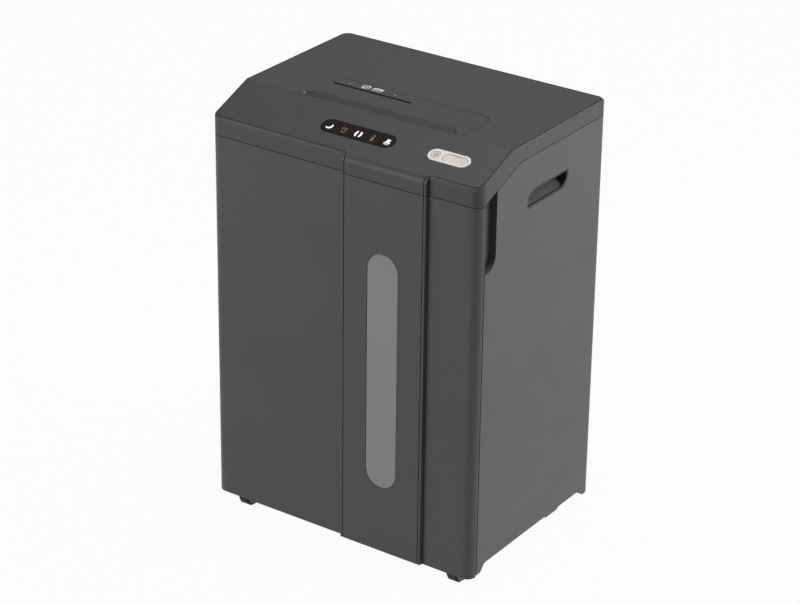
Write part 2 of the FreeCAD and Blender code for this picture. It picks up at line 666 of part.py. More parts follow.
def make_chutes():
    gauge = "1.2"
    top = f"{THROAT}-fit"
    mouth = f"(shaft_level+disc_radius+2)"
    lead = "8"
    front_line = [(f"{SLIT_FRONT}-{gauge}-0.4", top), (f"{SLIT_FRONT}-{gauge}-0.4", f"{top}-{lead}"),
                  (f"nip_line-2.5-{gauge}", mouth)]
    rear_line = [(f"{SLIT_FRONT}+slit_gap+0.4", top), (f"{SLIT_FRONT}+slit_gap+0.4", f"{top}-{lead}"),
                 ("nip_line+1", f"{mouth}+14")]
    sides = []
    for sign in ("-", ""):
        edge = f"{sign}(slit_half+1)"
        other = f"{sign}(slit_half+1+{gauge})"
        left, right = (other, edge) if sign else (edge, other)
        sides.append(prism("chute_side", "YZ_Plane", [front_line[0], front_line[1], front_line[2],
                                                      (f"nip_line+1+{gauge}", mouth), (f"{rear_line[2][0]}+{gauge}", rear_line[2][1]),
                                                      (f"{rear_line[1][0]}+{gauge}", rear_line[1][1]),
                                                      (f"{rear_line[0][0]}+{gauge}", rear_line[0][1])],
                           left, f"({right})-({left})"))
    reach = f"(slit_half+1+{gauge}/2)"
    front_sheet = sheet_strip("chute_front", front_line, gauge, f"-{reach}", reach)
    rear_sheet = sheet_strip("chute_rear", rear_line, gauge, f"-{reach}", reach)
    finish(fuse("feed_chute", front_sheet, rear_sheet, *sides), "feed_chute")

    card_top = "height-12-fit"
    card_front = [(f"card_line-card_gap/2-{gauge}-0.3", card_top), (f"nip_line+3.6", f"{mouth}+16")]
    card_rear = [("card_line+card_gap/2+0.3", card_top), (f"nip_line+7.5", f"{mouth}+2")]
    card_edge_left, card_edge_right = "card_left-2", "card_left+card_length+2"
    walls = []
    for left, right in ((card_edge_left, f"{card_edge_left}+{gauge}"), (f"{card_edge_right}-{gauge}", card_edge_right)):
        walls.append(prism("card_side", "YZ_Plane", [card_front[0], card_front[1], (f"{card_rear[1][0]}+{gauge}", card_rear[1][1]),
                                                     (f"{card_rear[0][0]}+{gauge}", card_rear[0][1])],
                           left, f"({right})-({left})"))
    sheets = [sheet_strip(name, line, gauge, card_edge_left, card_edge_right)
              for name, line in (("card_front_sheet", card_front), ("card_rear_sheet", card_rear))]
    finish(fuse("card_chute", *sheets, *walls), "card_chute")


# ---------------------------------------------------------------- controls on the slope

def make_controls():
    lens = obround("lens_plate", "lens_length", "lens_height", "0.15-lens_thick", "lens_thick")
    rim = obround("lens_rim", "lens_length+8", "lens_height+6", "-wall-1.3", "1.1")
    riser = obround("lens_riser", "lens_length-1", "lens_height-1", "-wall-1.3", "wall")
    finish(on_slope(fuse("status_lens", lens, riser, rim)), "status_lens")

    boards = [on_slope(obround("status_board", "lens_length+4", "lens_height", "-wall-7", "1.6")),
              on_slope(obround("button_board", "bezel_length+2", "bezel_height+2", "-wall-8.4", "1.6"),
                       "bezel_centre")]
    finish(group("panel_boards", boards), "panel_boards")
    lamps = [rod("status_lamp", "Z", f"({k}-2)*21", "0", "-wall-5.4", "2.5", "3.6") for k in range(5)]
    finish(on_slope(group("status_lamps", lamps)), "status_lamps")

    bezel = fuse("bezel_solid",
                 obround("bezel_top", "bezel_length", "bezel_height", "-wall-1.3", "wall+1.3+bezel_proud"),
                 obround("bezel_flange", "bezel_length+6", "bezel_height+6", "-wall-1.3", "1.1"))
    power_hole = rod("power_hole", "Z", "power_offset", "0", "-wall-5", "power_radius+key_gap", "20")
    rocker_hole = obround("rocker_hole", "rocker_length+2*key_gap", "rocker_height+2*key_gap", "-wall-5", "20",
                          centre="rocker_offset")
    axle_seat = rod("axle_seat", "Y", "rocker_offset", "-rocker_height/2-1.5", "-wall-0.6", "1.5+running_fit",
                    "rocker_height+3")
    legs = [rod("bezel_leg", "Z", x, "0", "-wall-6.8", "1.5", "5.8")
            for x in ("-bezel_length/2+1.75", "bezel_length/2-1.75")]
    bezel = fuse("bezel_with_legs", cut("bezel_cut", bezel, power_hole, rocker_hole, axle_seat), *legs)
    finish(on_slope(bezel, "bezel_centre"), "button_bezel")

    cap = rod("power_cap", "Z", "power_offset", "0", "bezel_proud-0.3-key_thick", "power_radius", "key_thick")
    stem = rod("power_stem", "Z", "power_offset", "0", "-wall-5.8", "2.2", "wall+5.8+bezel_proud-1")
    dome = doc.addObject("Part::Sphere", "power_dish")
    bind(dome, Radius="22", x="power_offset", y="0", z="bezel_proud-0.3+22-0.5")
    finish(on_slope(cut("power_button", fuse("power_solid", cap, stem), dome), "bezel_centre"), "power_button")

    key = obround("rocker_cap", "rocker_length", "rocker_height", "bezel_proud-0.3-key_thick", "key_thick",
                  centre="rocker_offset")
    dish = doc.addObject("Part::Cylinder", "rocker_dish")
    dish.Placement = FreeCAD.Placement(Vector(), FreeCAD.Rotation(Vector(1, 0, 0), -90))
    bind(dish, Radius="150", Height="60", x="rocker_offset", y="-30", z="bezel_proud-0.3+150-0.6")
    feet = [block("rocker_foot", f"rocker_offset{side}-1.2", "-2", "-wall-3.9", "2.4", "4", "wall+3.9+bezel_proud-2")
            for side in ("-11", "+11")]
    axle = rod("rocker_axle", "Y", "rocker_offset", "-rocker_height/2-1.2", "-wall-0.6", "1.5", "rocker_height+2.4")
    web = block("rocker_web", "rocker_offset-1.5", "-rocker_height/2+1", "-wall-0.8", "3", "rocker_height-2",
                "wall+0.8+bezel_proud-2")
    rocker = cut("rocker_solid", fuse("rocker_parts", key, *feet, axle, web), dish)
    finish(on_slope(rocker, "bezel_centre"), "function_rocker")


# ---------------------------------------------------------------- side, rear and base

def make_side_panels():
    out, inner = HALF, f"({HALF}-wall)"
    door_line = f"({DOOR_BACK}+door_gap)"
    return_end = f"({HALF}-corner-4)"
    plan = [(out, door_line), (out, BACK), (return_end, BACK), (return_end, f"{BACK}-wall"),
            (inner, f"{BACK}-wall"), (inner, door_line)]
    outline = prism("side_outline", "XY_Plane", plan, "foot_level", "height-foot_level",
                    rounds=[("corner", [plan[1]]), ("corner-wall", [plan[4]])])
    seam = f"({SIDE_SEAM}-seam)"
    kink = f"({SEAM_KINK}+seam/2)"
    foot_rear = f"({DOOR_BACK}+front_foot)"
    heel = f"({BACK}-rear_foot)"
    ahead, behind = f"({DOOR_BACK}-10)", f"({BACK}+10)"
    side = [(ahead, "foot_level"), (foot_rear, "foot_level"), (f"{foot_rear}+foot_slope", "skirt_level"),
            ("step_from-2.5", "skirt_level"), ("step_from", "skirt_level-step_drop"),
            ("step_to-2.5", "skirt_level-step_drop"), ("step_to", "skirt_level"),
            (f"{heel}-rear_foot_slope", "skirt_level"), (heel, "foot_level"), (behind, "foot_level"),
            (behind, seam), (kink, seam), (ahead, f"{seam}-({kink}-{ahead})*{SLOPE}")]
    profile = prism("side_profile", "YZ_Plane", side, f"{HALF}-60", "120")

    # cup behind the finger recess, open towards the bin front
    grip_rear = f"({DOOR_BACK}+grip_length)"
    cup_inner = f"({HALF}-grip_depth)"
    grip_block = slab("grip_block", f"{cup_inner}-wall", out, door_line, f"{grip_rear}+wall", "grip_bottom-wall",
                      "height")
    grip_corner = (grip_rear, "grip_bottom")
    grip_room = prism("grip_room", "YZ_Plane", [(ahead, "grip_bottom"), grip_corner, (grip_rear, "height+20"),
                                                (ahead, "height+20")],
                      cup_inner, "grip_depth+10", rounds=[("grip_round", [grip_corner])])

    # opening for the carry handle's cup
    handle_hole = handle_pill("handle_hole", "0", f"{HALF}-wall-1", "wall+10")
    solid = common("side_solid", fuse("side_blocks", outline, grip_block), profile)
    right = finish(cut("side_panel_right", solid, grip_room, handle_hole), "side_panel_right")
    finish(mirrored("side_panel_left", right), "side_panel_left")


def handle_pill(name, inset, start, length):
    """The handle's outline, drawn in by an inset and padded along X: two large corners and two small."""
    low, high = f"handle_bottom+({inset})", f"handle_bottom+handle_height-({inset})"
    near, far = f"handle_front+({inset})", f"handle_front+handle_length-({inset})"
    corners = [(near, low), (far, low), (far, high), (near, high)]
    return prism(name, "YZ_Plane", corners, start, length,
                 rounds=[(f"handle_round-({inset})", [corners[1], corners[3]]),
                         (f"handle_tip-({inset})/2", [corners[0], corners[2]])])


def make_handle_cups():
    """Cups clipped into the side panels: the floor slopes in from the lower edge to hook fingers up."""
    low, high = "handle_bottom", "(handle_bottom+handle_height)"
    sill, deep = f"({HALF}-handle_sill)", f"({HALF}-handle_depth)"
    rim = handle_pill("cup_rim", "handle_gap", f"{HALF}-wall-2*fit-1.6", "wall+2*fit+1.3")
    flange = handle_pill("cup_flange", "-4", f"{HALF}-wall-fit-1.6", "1.6")
    back_side = [(f"{HALF}-wall-fit-0.5", f"{low}-1"), (f"{HALF}-wall-fit-0.5", f"{high}+1"),
                 (f"{deep}-1.6", f"{high}+1"), (f"{deep}-1.6", f"{high}-handle_deep-1"), (f"{sill}-4", f"{low}-1")]
    back = prism("cup_back", "XZ_Plane", back_side, "-(handle_front+handle_length+1)", "handle_length+2")
    room_side = [(f"{HALF}+9", f"{low}-1"), (f"{HALF}+9", f"{high}+1"), (deep, f"{high}+1"),
                 (deep, f"{high}-handle_deep"), (sill, f"{low}+2"), (sill, f"{low}-1")]
    ramp = prism("cup_ramp", "XZ_Plane", room_side, "-(handle_front+handle_length+1)", "handle_length+2",
                 rounds=[("handle_deep", [room_side[3]])])
    room = common("cup_room", handle_pill("cup_room_outline", "handle_gap+1.6", f"{deep}-1", "handle_depth+10"), ramp)
    cup = cut("handle_cup", fuse("cup_solid", rim, flange, back), room)
    finish(group("handle_cups", [cup, mirrored("handle_cup_left", cup)]), "handle_cups")


def make_rear_panel():
    edge = f"({HALF}-corner-4-fit)"
    plate = slab("rear_plate", f"-{edge}", edge, f"{BACK}-wall", BACK, "foot_level", f"{SIDE_SEAM}-seam")
    inlet = slab("rear_inlet_hole", "inlet_x-inlet_width/2-fit", "inlet_x+inlet_width/2+fit", f"{BACK}-wall-1",
                 f"{BACK}+1", "inlet_level-inlet_height/2-fit", "inlet_level+inlet_height/2+fit")
    slots = [slab("vent", f"({k})*9-2", f"({k})*9+2", f"{BACK}-wall-1", f"{BACK}+1", "tray_level+34",
                  "tray_level+74") for k in range(-8, 9)]
    finish(cut("rear_panel", plate, inlet, *slots), "rear_panel")


def castor_places():
    return [("front_left", "-castor_x", "castor_front"), ("front_right", "castor_x", "castor_front"),
            ("rear_left", "-castor_x", "castor_rear"), ("rear_right", "castor_x", "castor_rear")]


def make_base():
    plate = slab("base_plate", f"-{HALF}+wall+fit", f"{HALF}-wall-fit", f"{DOOR_BACK}+door_gap", f"{BACK}-wall-fit",
                 "base_level", BASE_TOP)
    bosses = [rod("castor_boss", "Z", x, y, "base_level", "socket_radius+5", "base_thick+boss_height")
              for _, x, y in castor_places()]
    corners = [slab("corner_relief", f"{sign}{HALF}-11", f"{sign}{HALF}+11", f"{BACK}-13-fit", f"{BACK}+5",
                    "base_level-1", f"{BASE_TOP}+1") for sign in ("-", "")]
    bores = [rod("socket_bore", "Z", x, y, "base_level-1", "socket_radius", "base_thick+boss_height+2")
             for _, x, y in castor_places()]
    finish(cut("base_tray", fuse("base_solid", plate, *bosses), *corners, *bores), "base_tray")

    sockets = []
    for _, x, y in castor_places():
        tube = rod("socket_tube", "Z", x, y, "base_level", "socket_radius", "base_thick+boss_height")
        hole = rod("socket_hole", "Z", x, y, "base_level-1", "kingpin_radius+running_fit",
                   "base_thick+boss_height+2")
        sockets.append(cut("castor_socket", tube, hole))
    finish(group("castor_sockets", sockets), "castor_sockets")

    rail_top = "(tub_bottom-fit)"
    rails = [slab("rail", f"{sign}rail_offset-rail_width/2", f"{sign}rail_offset+rail_width/2",
                  f"{DOOR_BACK}+2", f"{DOOR_BACK}+2+rail_length", f"{BASE_TOP}", rail_top) for sign in ("-", "")]
    finish(group("bin_rails", rails), "bin_rails")


def make_castors():
    """Swivel forks with riveted axles, and their wheels."""
    cheek = "2.4"
    inside = "(wheel_width/2+0.4)"
    for place, x, y in castor_places():
        axle_y = f"({y}-castor_trail)"
        crown = rod("fork_crown", "Z", x, y, "base_level-fit-3", "11", "3")
        kingpin = rod("kingpin", "Z", x, y, "base_level-2", "kingpin_radius", "base_thick+boss_height+1")
        saddle = slab("fork_saddle", f"{x}-{inside}-{cheek}", f"{x}+{inside}+{cheek}", f"{axle_y}-5", f"{y}+6",
                      "base_level-fit-3", "base_level-fit")
        cheeks = []
        for side in (f"{x}-{inside}-{cheek}", f"{x}+{inside}"):
            leg = [(f"{axle_y}-5", "base_level-1"), (f"{axle_y}-cheek_radius*0.8", "wheel_radius"),
                   (f"{axle_y}+cheek_radius*0.8", "wheel_radius"), (f"{y}+6", "base_level-6"),
                   (f"{y}+6", "base_level-1")]
            cheeks.append(prism("fork_cheek", "YZ_Plane", leg, side, cheek))
            cheeks.append(rod("fork_hood", "X", side, axle_y, "wheel_radius", "cheek_radius", cheek))
        axle = rod("castor_axle", "X", f"{x}-{inside}-{cheek}-0.8", axle_y, "wheel_radius", "axle_radius",
                   f"2*({inside}+{cheek}+0.8)")
        finish(fuse(f"castor_fork_{place}", crown, kingpin, saddle, *cheeks, axle), f"castor_fork_{place}")

        tyre = rod("wheel_disc", "X", f"{x}-wheel_width/2", axle_y, "wheel_radius", "wheel_radius", "wheel_width")
        bore = rod("wheel_bore", "X", f"{x}-wheel_width", axle_y, "wheel_radius", "axle_radius+running_fit",
                   "2*wheel_width")
        grooves = []
        for side in (f"{x}-wheel_width/2-1", f"{x}+wheel_width/2-1"):
            ring = cut("wheel_ring", rod("ring_out", "X", side, axle_y, "wheel_radius", "wheel_radius-3.5", "2"),
                       rod("ring_in", "X", f"{side}-1", axle_y, "wheel_radius", "axle_radius+3", "4"))
            grooves.append(ring)
        rolled = cut("wheel_cut", tyre, bore, *grooves)
        finish(rolled, f"castor_wheel_{place}")


# ---------------------------------------------------------------- pull-out bin

def upright_pill(name, half, end, y_from, y_to):
    """A pill standing on end in the front face: half width, and how much shorter than the window."""
    body = new_body(name)
    sketch = sketch_on(body, "XZ_Plane", f"-({y_to})")
    left, right = f"window_centre-({half})", f"window_centre+({half})"
    low, high = f"window_bottom+({end})", f"window_top-({end})"
    corners = [(left, low), (right, low), (right, high), (left, high)]
    draw_polygon(sketch, corners)
    add_pad(body, sketch, f"({y_to})-({y_from})")
    dress(body, "Fillet", f"({half})*0.999", edges_through(1, corners))
    return body


def make_bin():
    top = "(lip_seam-seam)"
    plan = rectangle_plan("0", f"{DOOR_BACK}+20")
    face = prism("door_outline", "XY_Plane", plan, "door_bottom", f"{top}-door_bottom",
                 rounds=[("corner", plan[:2])])
    behind = slab("door_behind", "-width", "width", DOOR_BACK, f"{DOOR_BACK}+30", "door_bottom-1", f"{top}+1")
    strip = rounded_strip("door_strip", f"{FRONT}+2", "door_bottom", f"{top}-door_bottom")
    hollow_plan = rectangle_plan("wall", f"{DOOR_BACK}+20")
    hollow = prism("door_hollow", "XY_Plane", hollow_plan, "door_floor+wall", f"{top}-door_floor-2*wall",
                   rounds=[("corner-wall", hollow_plan[:2])])
    skirt = prism("door_skirt_room", "XY_Plane", hollow_plan, "door_bottom-1", "door_floor-door_bottom+1",
                  rounds=[("corner-wall", hollow_plan[:2])])
    strip_hollow_plan = strip_plan("wall", f"{FRONT}+wall+1")
    strip_hollow = prism("strip_hollow", "XY_Plane", strip_hollow_plan, "door_bottom+wall",
                         f"{top}-door_bottom-2*wall")
    tub_line = f"({FRONT}+tub_front)"
    bosses = [rod("door_boss", "Y", x, f"{FRONT}+wall-0.5", z, "6", f"tub_front-wall-fit+0.5")
              for x, z in door_screw_places()]
    lines = strip_lines("door_strip_line", "door_bottom-1", f"{top}-door_bottom+2")
    shell = cut("door_shell", fuse("door_solid", face, strip), behind, hollow, skirt, strip_hollow, *lines)
    seat = upright_pill("window_seat", "window_half+window_gap", "-window_gap", STRIP_FACE + "-1",
                        f"{STRIP_FACE}+wall+1")
    pilots = [rod("door_pilot", "Y", x, f"{FRONT}+wall+1", z, "screw_radius+pilot_room", "tub_front")
              for x, z in door_screw_places()]
    finish(cut("bin_front", fuse("door_with_bosses", shell, *bosses), seat, *pilots), "bin_front")

    pane = upright_pill("pane", "window_half", "0", f"{STRIP_FACE}+0.2", f"{STRIP_FACE}+wall+0.2")
    flange = upright_pill("pane_flange", "window_half+4", "-4", f"{STRIP_FACE}+wall+0.2", f"{STRIP_FACE}+wall+1.8")
    finish(fuse("bin_window", pane, flange), "bin_window")

    tub = slab("tub_outside", "-tub_half", "tub_half", tub_line, f"{tub_line}+tub_length", "tub_bottom", "tub_top")
    room = slab("tub_room", "-tub_half+tub_wall", "tub_half-tub_wall", f"{tub_line}+tub_wall",
                f"{tub_line}+tub_length-tub_wall", "tub_bottom+tub_wall", "tub_top+1")
    view_slot = slab("tub_view_slot", "window_centre-window_half+4", "window_centre+window_half-4",
                     f"{tub_line}-1", f"{tub_line}+tub_wall+1", "window_bottom+20", "tub_top-12")
    holes = [rod("tub_hole", "Y", x, f"{tub_line}-1", z, "2.2", "tub_wall+2") for x, z in door_screw_places()]
    rim_out = slab("rim_out", "-tub_half-4", "tub_half+4", f"{tub_line}+tub_wall", f"{tub_line}+tub_length+4",
                   "tub_top-3", "tub_top")
    finish(cut("bin_tub", fuse("tub_solid", tub, rim_out), room, view_slot, *holes), "bin_tub")

    finish(group("bin_screws", [screw("bin_screw", "-Y", x, f"({tub_line}+tub_wall)", z, "screw_radius", "11", "4", "2.4")
                                for x, z in door_screw_places()]), "bin_screws")


def door_screw_places():
    return [(x, z) for x in ("-tub_half+30", "tub_half-30") for z in ("tub_bottom+48.5", "tub_top-29")]


def screw(name, direction, x, y, z, radius, length, head_radius, head_height):
    """A pan head screw: its head's seat is at the point, and the shank runs along the direction."""
    axis, forward = direction[1], direction[0] == "+"
    shift = {"X": (1, 0, 0), "Y": (0, 1, 0), "Z": (0, 0, 1)}[axis]
    start = [f"{place}-{head_height if forward else length}*{use}" for place, use in zip((x, y, z), shift)]
    shank_start = [x, y, z] if forward else start
    head_start = start if forward else [x, y, z]
    shank = rod(name + "_shank", axis, *shank_start, radius, length)
    head = rod(name + "_head", axis, *head_start, head_radius, head_height)
    return fuse(name, shank, head)


# ---------------------------------------------------------------- head tray and chassis

def make_head_tray():
    plate = slab("tray_plate", f"-{HALF}+wall+fit", f"{HALF}-wall-fit", f"{DOOR_BACK}+door_gap", f"{BACK}-wall-fit",
                 "tray_level", TRAY_TOP)
    posts = [rod("cover_post", "Z", x, y, "tray_level", "post_radius", "post_top-tray_level")
             for x, y, _ in cover_post_places()]
    wells = [rod("post_well", "Z", x, y, "tray_level-1", "post_radius-1.6", "post_top-tray_level-3")
             for x, y, _ in cover_post_places()]
    holes = [rod("post_hole", "Z", x, y, "post_top-10", "2.2", "12") for x, y, _ in cover_post_places()]
    drop = slab("drop_opening", "-drop_half", "drop_half", "drop_front", "drop_rear", "tray_level-1",
                f"{TRAY_TOP}+1")
    standoffs = [rod("standoff", "Z", x, y, "tray_level+1", "3.5", "tray_thick-1+6") for x, y in board_corners()]
    grips = [slab("grip_clearance", *(("-width", f"-{HALF}+grip_depth+wall+fit") if side else
                                      (f"{HALF}-grip_depth-wall-fit", "width")),
                  "-depth", f"{DOOR_BACK}+grip_length+wall+fit", "grip_bottom-wall-fit", f"{TRAY_TOP}+2")
             for side in (True, False)]
    corners = [slab("tray_relief", f"{sign}{HALF}-11", f"{sign}{HALF}+11", f"{BACK}-13-fit", f"{BACK}+5",
                    "tray_level-1", f"{TRAY_TOP}+1") for sign in ("-", "")]
    pilots = [rod("tray_pilot", "Z", x, y, "tray_level-1", "screw_radius+pilot_room", "tray_thick+2") for x, y in chassis_screw_places()]
    finish(cut("head_tray", fuse("tray_solid", plate, *posts, *standoffs), drop, *wells, *holes, *grips, *corners,
               *pilots), "head_tray")


def board_corners():
    return [(x, y) for x in ("-width/2+25", "-width/2+125") for y in ("depth/2-111", "depth/2-43")]


def chassis_screw_places():
    offset = f"({PLATE_OUT}+8)"
    return [(sign + offset, y) for sign in ("-", "") for y in ("plate_front+12", "left_plate_rear-12")]


def shaft_circles(sketch, radius):
    for y in (FRONT_SHAFT, REAR_SHAFT):
        draw_circle(sketch, y, "shaft_level", radius)


ROD_PLACES = [(y, z) for y in ("plate_front+6", "left_plate_rear-6") for z in ("plate_top-12", "tray_level+25")]


def gear_centre(start, direction, distance):
    """A centre in the Y-Z plane, as expression text."""
    y, z = start
    return (f"({y}+({distance})*cos({direction}))", f"({z}+({distance})*sin({direction}))")


def pair_distance(module, wheel, pinion):
    return f"{module}*{(GEAR_TEETH[wheel] + GEAR_TEETH[pinion]) / 2}"


REAR_CENTRE = (REAR_SHAFT, "shaft_level")
IDLER_B = gear_centre(REAR_CENTRE, REAR_SHAFT_TO_IDLER_B, pair_distance("final_module", "final", "final_pinion"))
IDLER_A = gear_centre(IDLER_B, IDLER_B_TO_IDLER_A, pair_distance("middle_module", "middle", "middle_pinion"))
MOTOR = gear_centre(IDLER_A, IDLER_A_TO_MOTOR, pair_distance("first_module", "first", "first_pinion"))


def make_chassis():
    for side, rear in (("left", "left_plate_rear"), ("right", "right_plate_rear")):
        sign = "-" if side == "left" else ""
        inner = f"-{PLATE_OUT}" if side == "left" else "plate_half"
        outline = [("plate_front", f"{TRAY_TOP}"), (rear, f"{TRAY_TOP}"), (rear, "plate_top-20"),
                   (f"{rear}-20", "plate_top"), ("plate_front+14", "plate_top"), ("plate_front", "plate_top-14")]
        plate = prism(f"plate_{side}", "YZ_Plane", outline, inner, "plate_thick")
        flange = slab("plate_flange", *((f"-{PLATE_OUT}-16", "-plate_half") if sign else ("plate_half", f"{PLATE_OUT}+16")),
                      "plate_front", rear, TRAY_TOP, f"{TRAY_TOP}+2.5")
        through = "plate_thick+2"
        start = f"{inner}-1"
        holes = [rod("bush_hole", "X", start, y, "shaft_level", "bush_radius+press_room", through)
                 for y in (FRONT_SHAFT, REAR_SHAFT)]
        holes += [rod("rod_hole", "X", start, y, z, "rod_radius-2", through) for y, z in ROD_PLACES]
        holes += [rod("flange_hole", "Z", x, y, f"{TRAY_TOP}-1", "2.2", "5")
                  for x, y in chassis_screw_places() if x.startswith("-") == bool(sign)]
        if side == "right":
            holes += [rod("stud_hole", "X", start, y, z, "stud_radius", through) for y, z in (IDLER_A, IDLER_B)]
            holes += [rod("motor_hole", "X", start, *MOTOR, "motor_shaft+8", through)]
        finish(cut(f"chassis_plate_{side}", fuse(f"plate_solid_{side}", plate, flange), *holes),
               f"chassis_plate_{side}")

    screws = [screw("chassis_screw", "-Z", x, y, f"({TRAY_TOP}+2.5)", "screw_radius", "5", "4", "2.4")
              for x, y in chassis_screw_places()]
    screws += [screw("cover_screw", "+Z", x, y, "(post_top-4)", "screw_radius", "12", "3.6", "2.4")
               for x, y, _ in cover_post_places()]
    finish(group("frame_screws", screws), "frame_screws")

    rods = []
    for y, z in ROD_PLACES:
        bar = rod("tie_bar", "X", "-plate_half", y, z, "rod_radius", "2*plate_half")
        tail = rod("tie_tail", "X", f"-{PLATE_OUT}-3", y, z, "rod_radius-2", f"2*{PLATE_OUT}+6")
        rods.append(fuse("tie_rod", bar, tail))
    finish(group("tie_rods", rods), "tie_rods")

    # four bushes, two in each plate
    bushes = new_body("shaft_bushes")
    bushes.AllowCompound = True
    sketch = sketch_on(bushes, "YZ_Plane", f"-{PLATE_OUT}-1.5")
    shaft_circles(sketch, "bush_radius")
    shaft_circles(sketch, "journal_radius+running_fit")
    pad = add_pad(bushes, sketch, "plate_thick+3")
    row = bushes.newObject("PartDesign::LinearPattern", "bush_row")
    row.Originals = [pad]
    row.Direction = (origin_part(bushes, "X_Axis"), [""])
    row.Occurrences = 2
    bind(row, Length=f"2*plate_half+plate_thick")
    bushes.Tip = row
    finish(bushes, "shaft_bushes")


def make_combs():
    """Stripper combs: a bar with one finger for each gap between the discs."""
    for name, shaft, sense, shift in (("stripper_front", FRONT_SHAFT, "-", "0"),
                                      ("stripper_rear", REAR_SHAFT, "+", "disc_pitch/2")):
        comb = new_body(name)
        near = f"({shaft}{sense}(hub_radius+0.8))"
        far = f"({shaft}{sense}(disc_radius+4))"
        outer = f"({shaft}{sense}(disc_radius+10))"
        low, high = ("shaft_level-8", "shaft_level+8")
        finger_sketch = sketch_on(comb, "XY_Plane", low)
        gap_start = f"(-disc_pitch*disc_count/2+{shift}+disc_thick+0.7)"
        gap_width = "(disc_pitch-disc_thick-1.4)"
        draw_polygon(finger_sketch, [(gap_start, near), (f"{gap_start}+{gap_width}", near),
                                     (f"{gap_start}+{gap_width}", f"{far}{sense}1"), (gap_start, f"{far}{sense}1")])
        finger = add_pad(comb, finger_sketch, f"({high})-({low})")
        comb.AllowCompound = True
        row = comb.newObject("PartDesign::LinearPattern", name + "_row")
        row.Originals = [finger]
        row.Direction = (origin_part(comb, "X_Axis"), [""])
        bind(row, Length="disc_pitch*(disc_count-1)", Occurrences="disc_count")
        comb.Tip = row
        bar_sketch = sketch_on(comb, "XY_Plane", low)
        draw_polygon(bar_sketch, [("-plate_half+fit", far), ("plate_half-fit", far), ("plate_half-fit", outer),
                                  ("-plate_half+fit", outer)])
        add_pad(comb, bar_sketch, f"({high})-({low})")
        finish(comb, name)


def make_cutters():
    """Two hexagon shafts, each strung with notched discs that interleave with the other's."""
    corner = "hex_flats/sqrt(3)"
    for name, y, shift, right_end in (("front", FRONT_SHAFT, "0", f"{PLATE_OUT}+final_start-0.4"),
                                      ("rear", REAR_SHAFT, "disc_pitch/2", f"{PLATE_OUT}+final_start+final_width+1")):
        hexagon = [(f"{y}+{corner}*cos({60 * k})", f"shaft_level+{corner}*sin({60 * k})") for k in range(6)]
        core = prism(f"hex_{name}", "YZ_Plane", hexagon, "-plate_half+2", "2*plate_half-4")
        left_end = f"(-{PLATE_OUT}-sync_start-sync_width-2)"
        journal = rod(f"journal_{name}", "X", left_end, y, "shaft_level", "journal_radius", f"{right_end}-{left_end}")
        finish(fuse(f"cutter_shaft_{name}", core, journal), f"cutter_shaft_{name}")

        discs = new_body(f"discs_{name}")
        discs.AllowCompound = True
        start = f"(-disc_pitch*disc_count/2+{shift})"
        pads = []
        for offset, radius, thick in ((start, "disc_radius", "disc_thick"),
                                      (f"{start}+disc_thick", "hub_radius", "disc_pitch-disc_thick-press_room")):
            sketch = sketch_on(discs, "YZ_Plane", offset)
            draw_circle(sketch, y, "shaft_level", radius)
            draw_polygon(sketch, hexagon)
            pads.append(add_pad(discs, sketch, thick))
        row = discs.newObject("PartDesign::LinearPattern", f"disc_row_{name}")
        row.Originals = pads
        row.Direction = (origin_part(discs, "X_Axis"), [""])
        bind(row, Length="disc_pitch*(disc_count-1)", Occurrences="disc_count")
        discs.Tip = row
        notches = [prism("notch", "YZ_Plane", notch_section(y, 60 * k + 20), "-plate_half", "2*plate_half")
                   for k in range(6)]
        finish(cut(f"cutter_discs_{name}", discs, *notches), f"cutter_discs_{name}")


def notch_section(y, angle):
    """A V-shaped notch in the rim, one flank steeper so that it hooks the paper."""
    def spot(radius, turn):
        return (f"{y}+({radius})*cos({angle + turn})", f"shaft_level+({radius})*sin({angle + turn})")
    return [spot("disc_radius+2", -10), spot("disc_radius+2", 2), spot("disc_radius-notch_depth", 0)]


# ---------------------------------------------------------------- gears

def tooth_points(module, teeth, thinning, steps=5):
    """One flank pair of an involute tooth about angle 0: (radius, half angle) from root to tip."""
    pitch = module * teeth / 2
    base = pitch * math.cos(PRESSURE_ANGLE)
    tip = pitch + 0.92 * module
    root = pitch - 1.2 * module
    half_at_pitch = (math.pi * module / 2 - thinning) / (2 * pitch)
    start = max(base, root)

    def involute(radius):
        pressure = math.acos(min(1.0, base / radius))
        return math.tan(pressure) - pressure

    offset = half_at_pitch + involute(pitch)
    rows = [(start + (tip - start) * k / steps, offset - involute(start + (tip - start) * k / steps))
            for k in range(steps + 1)]
    return root, rows


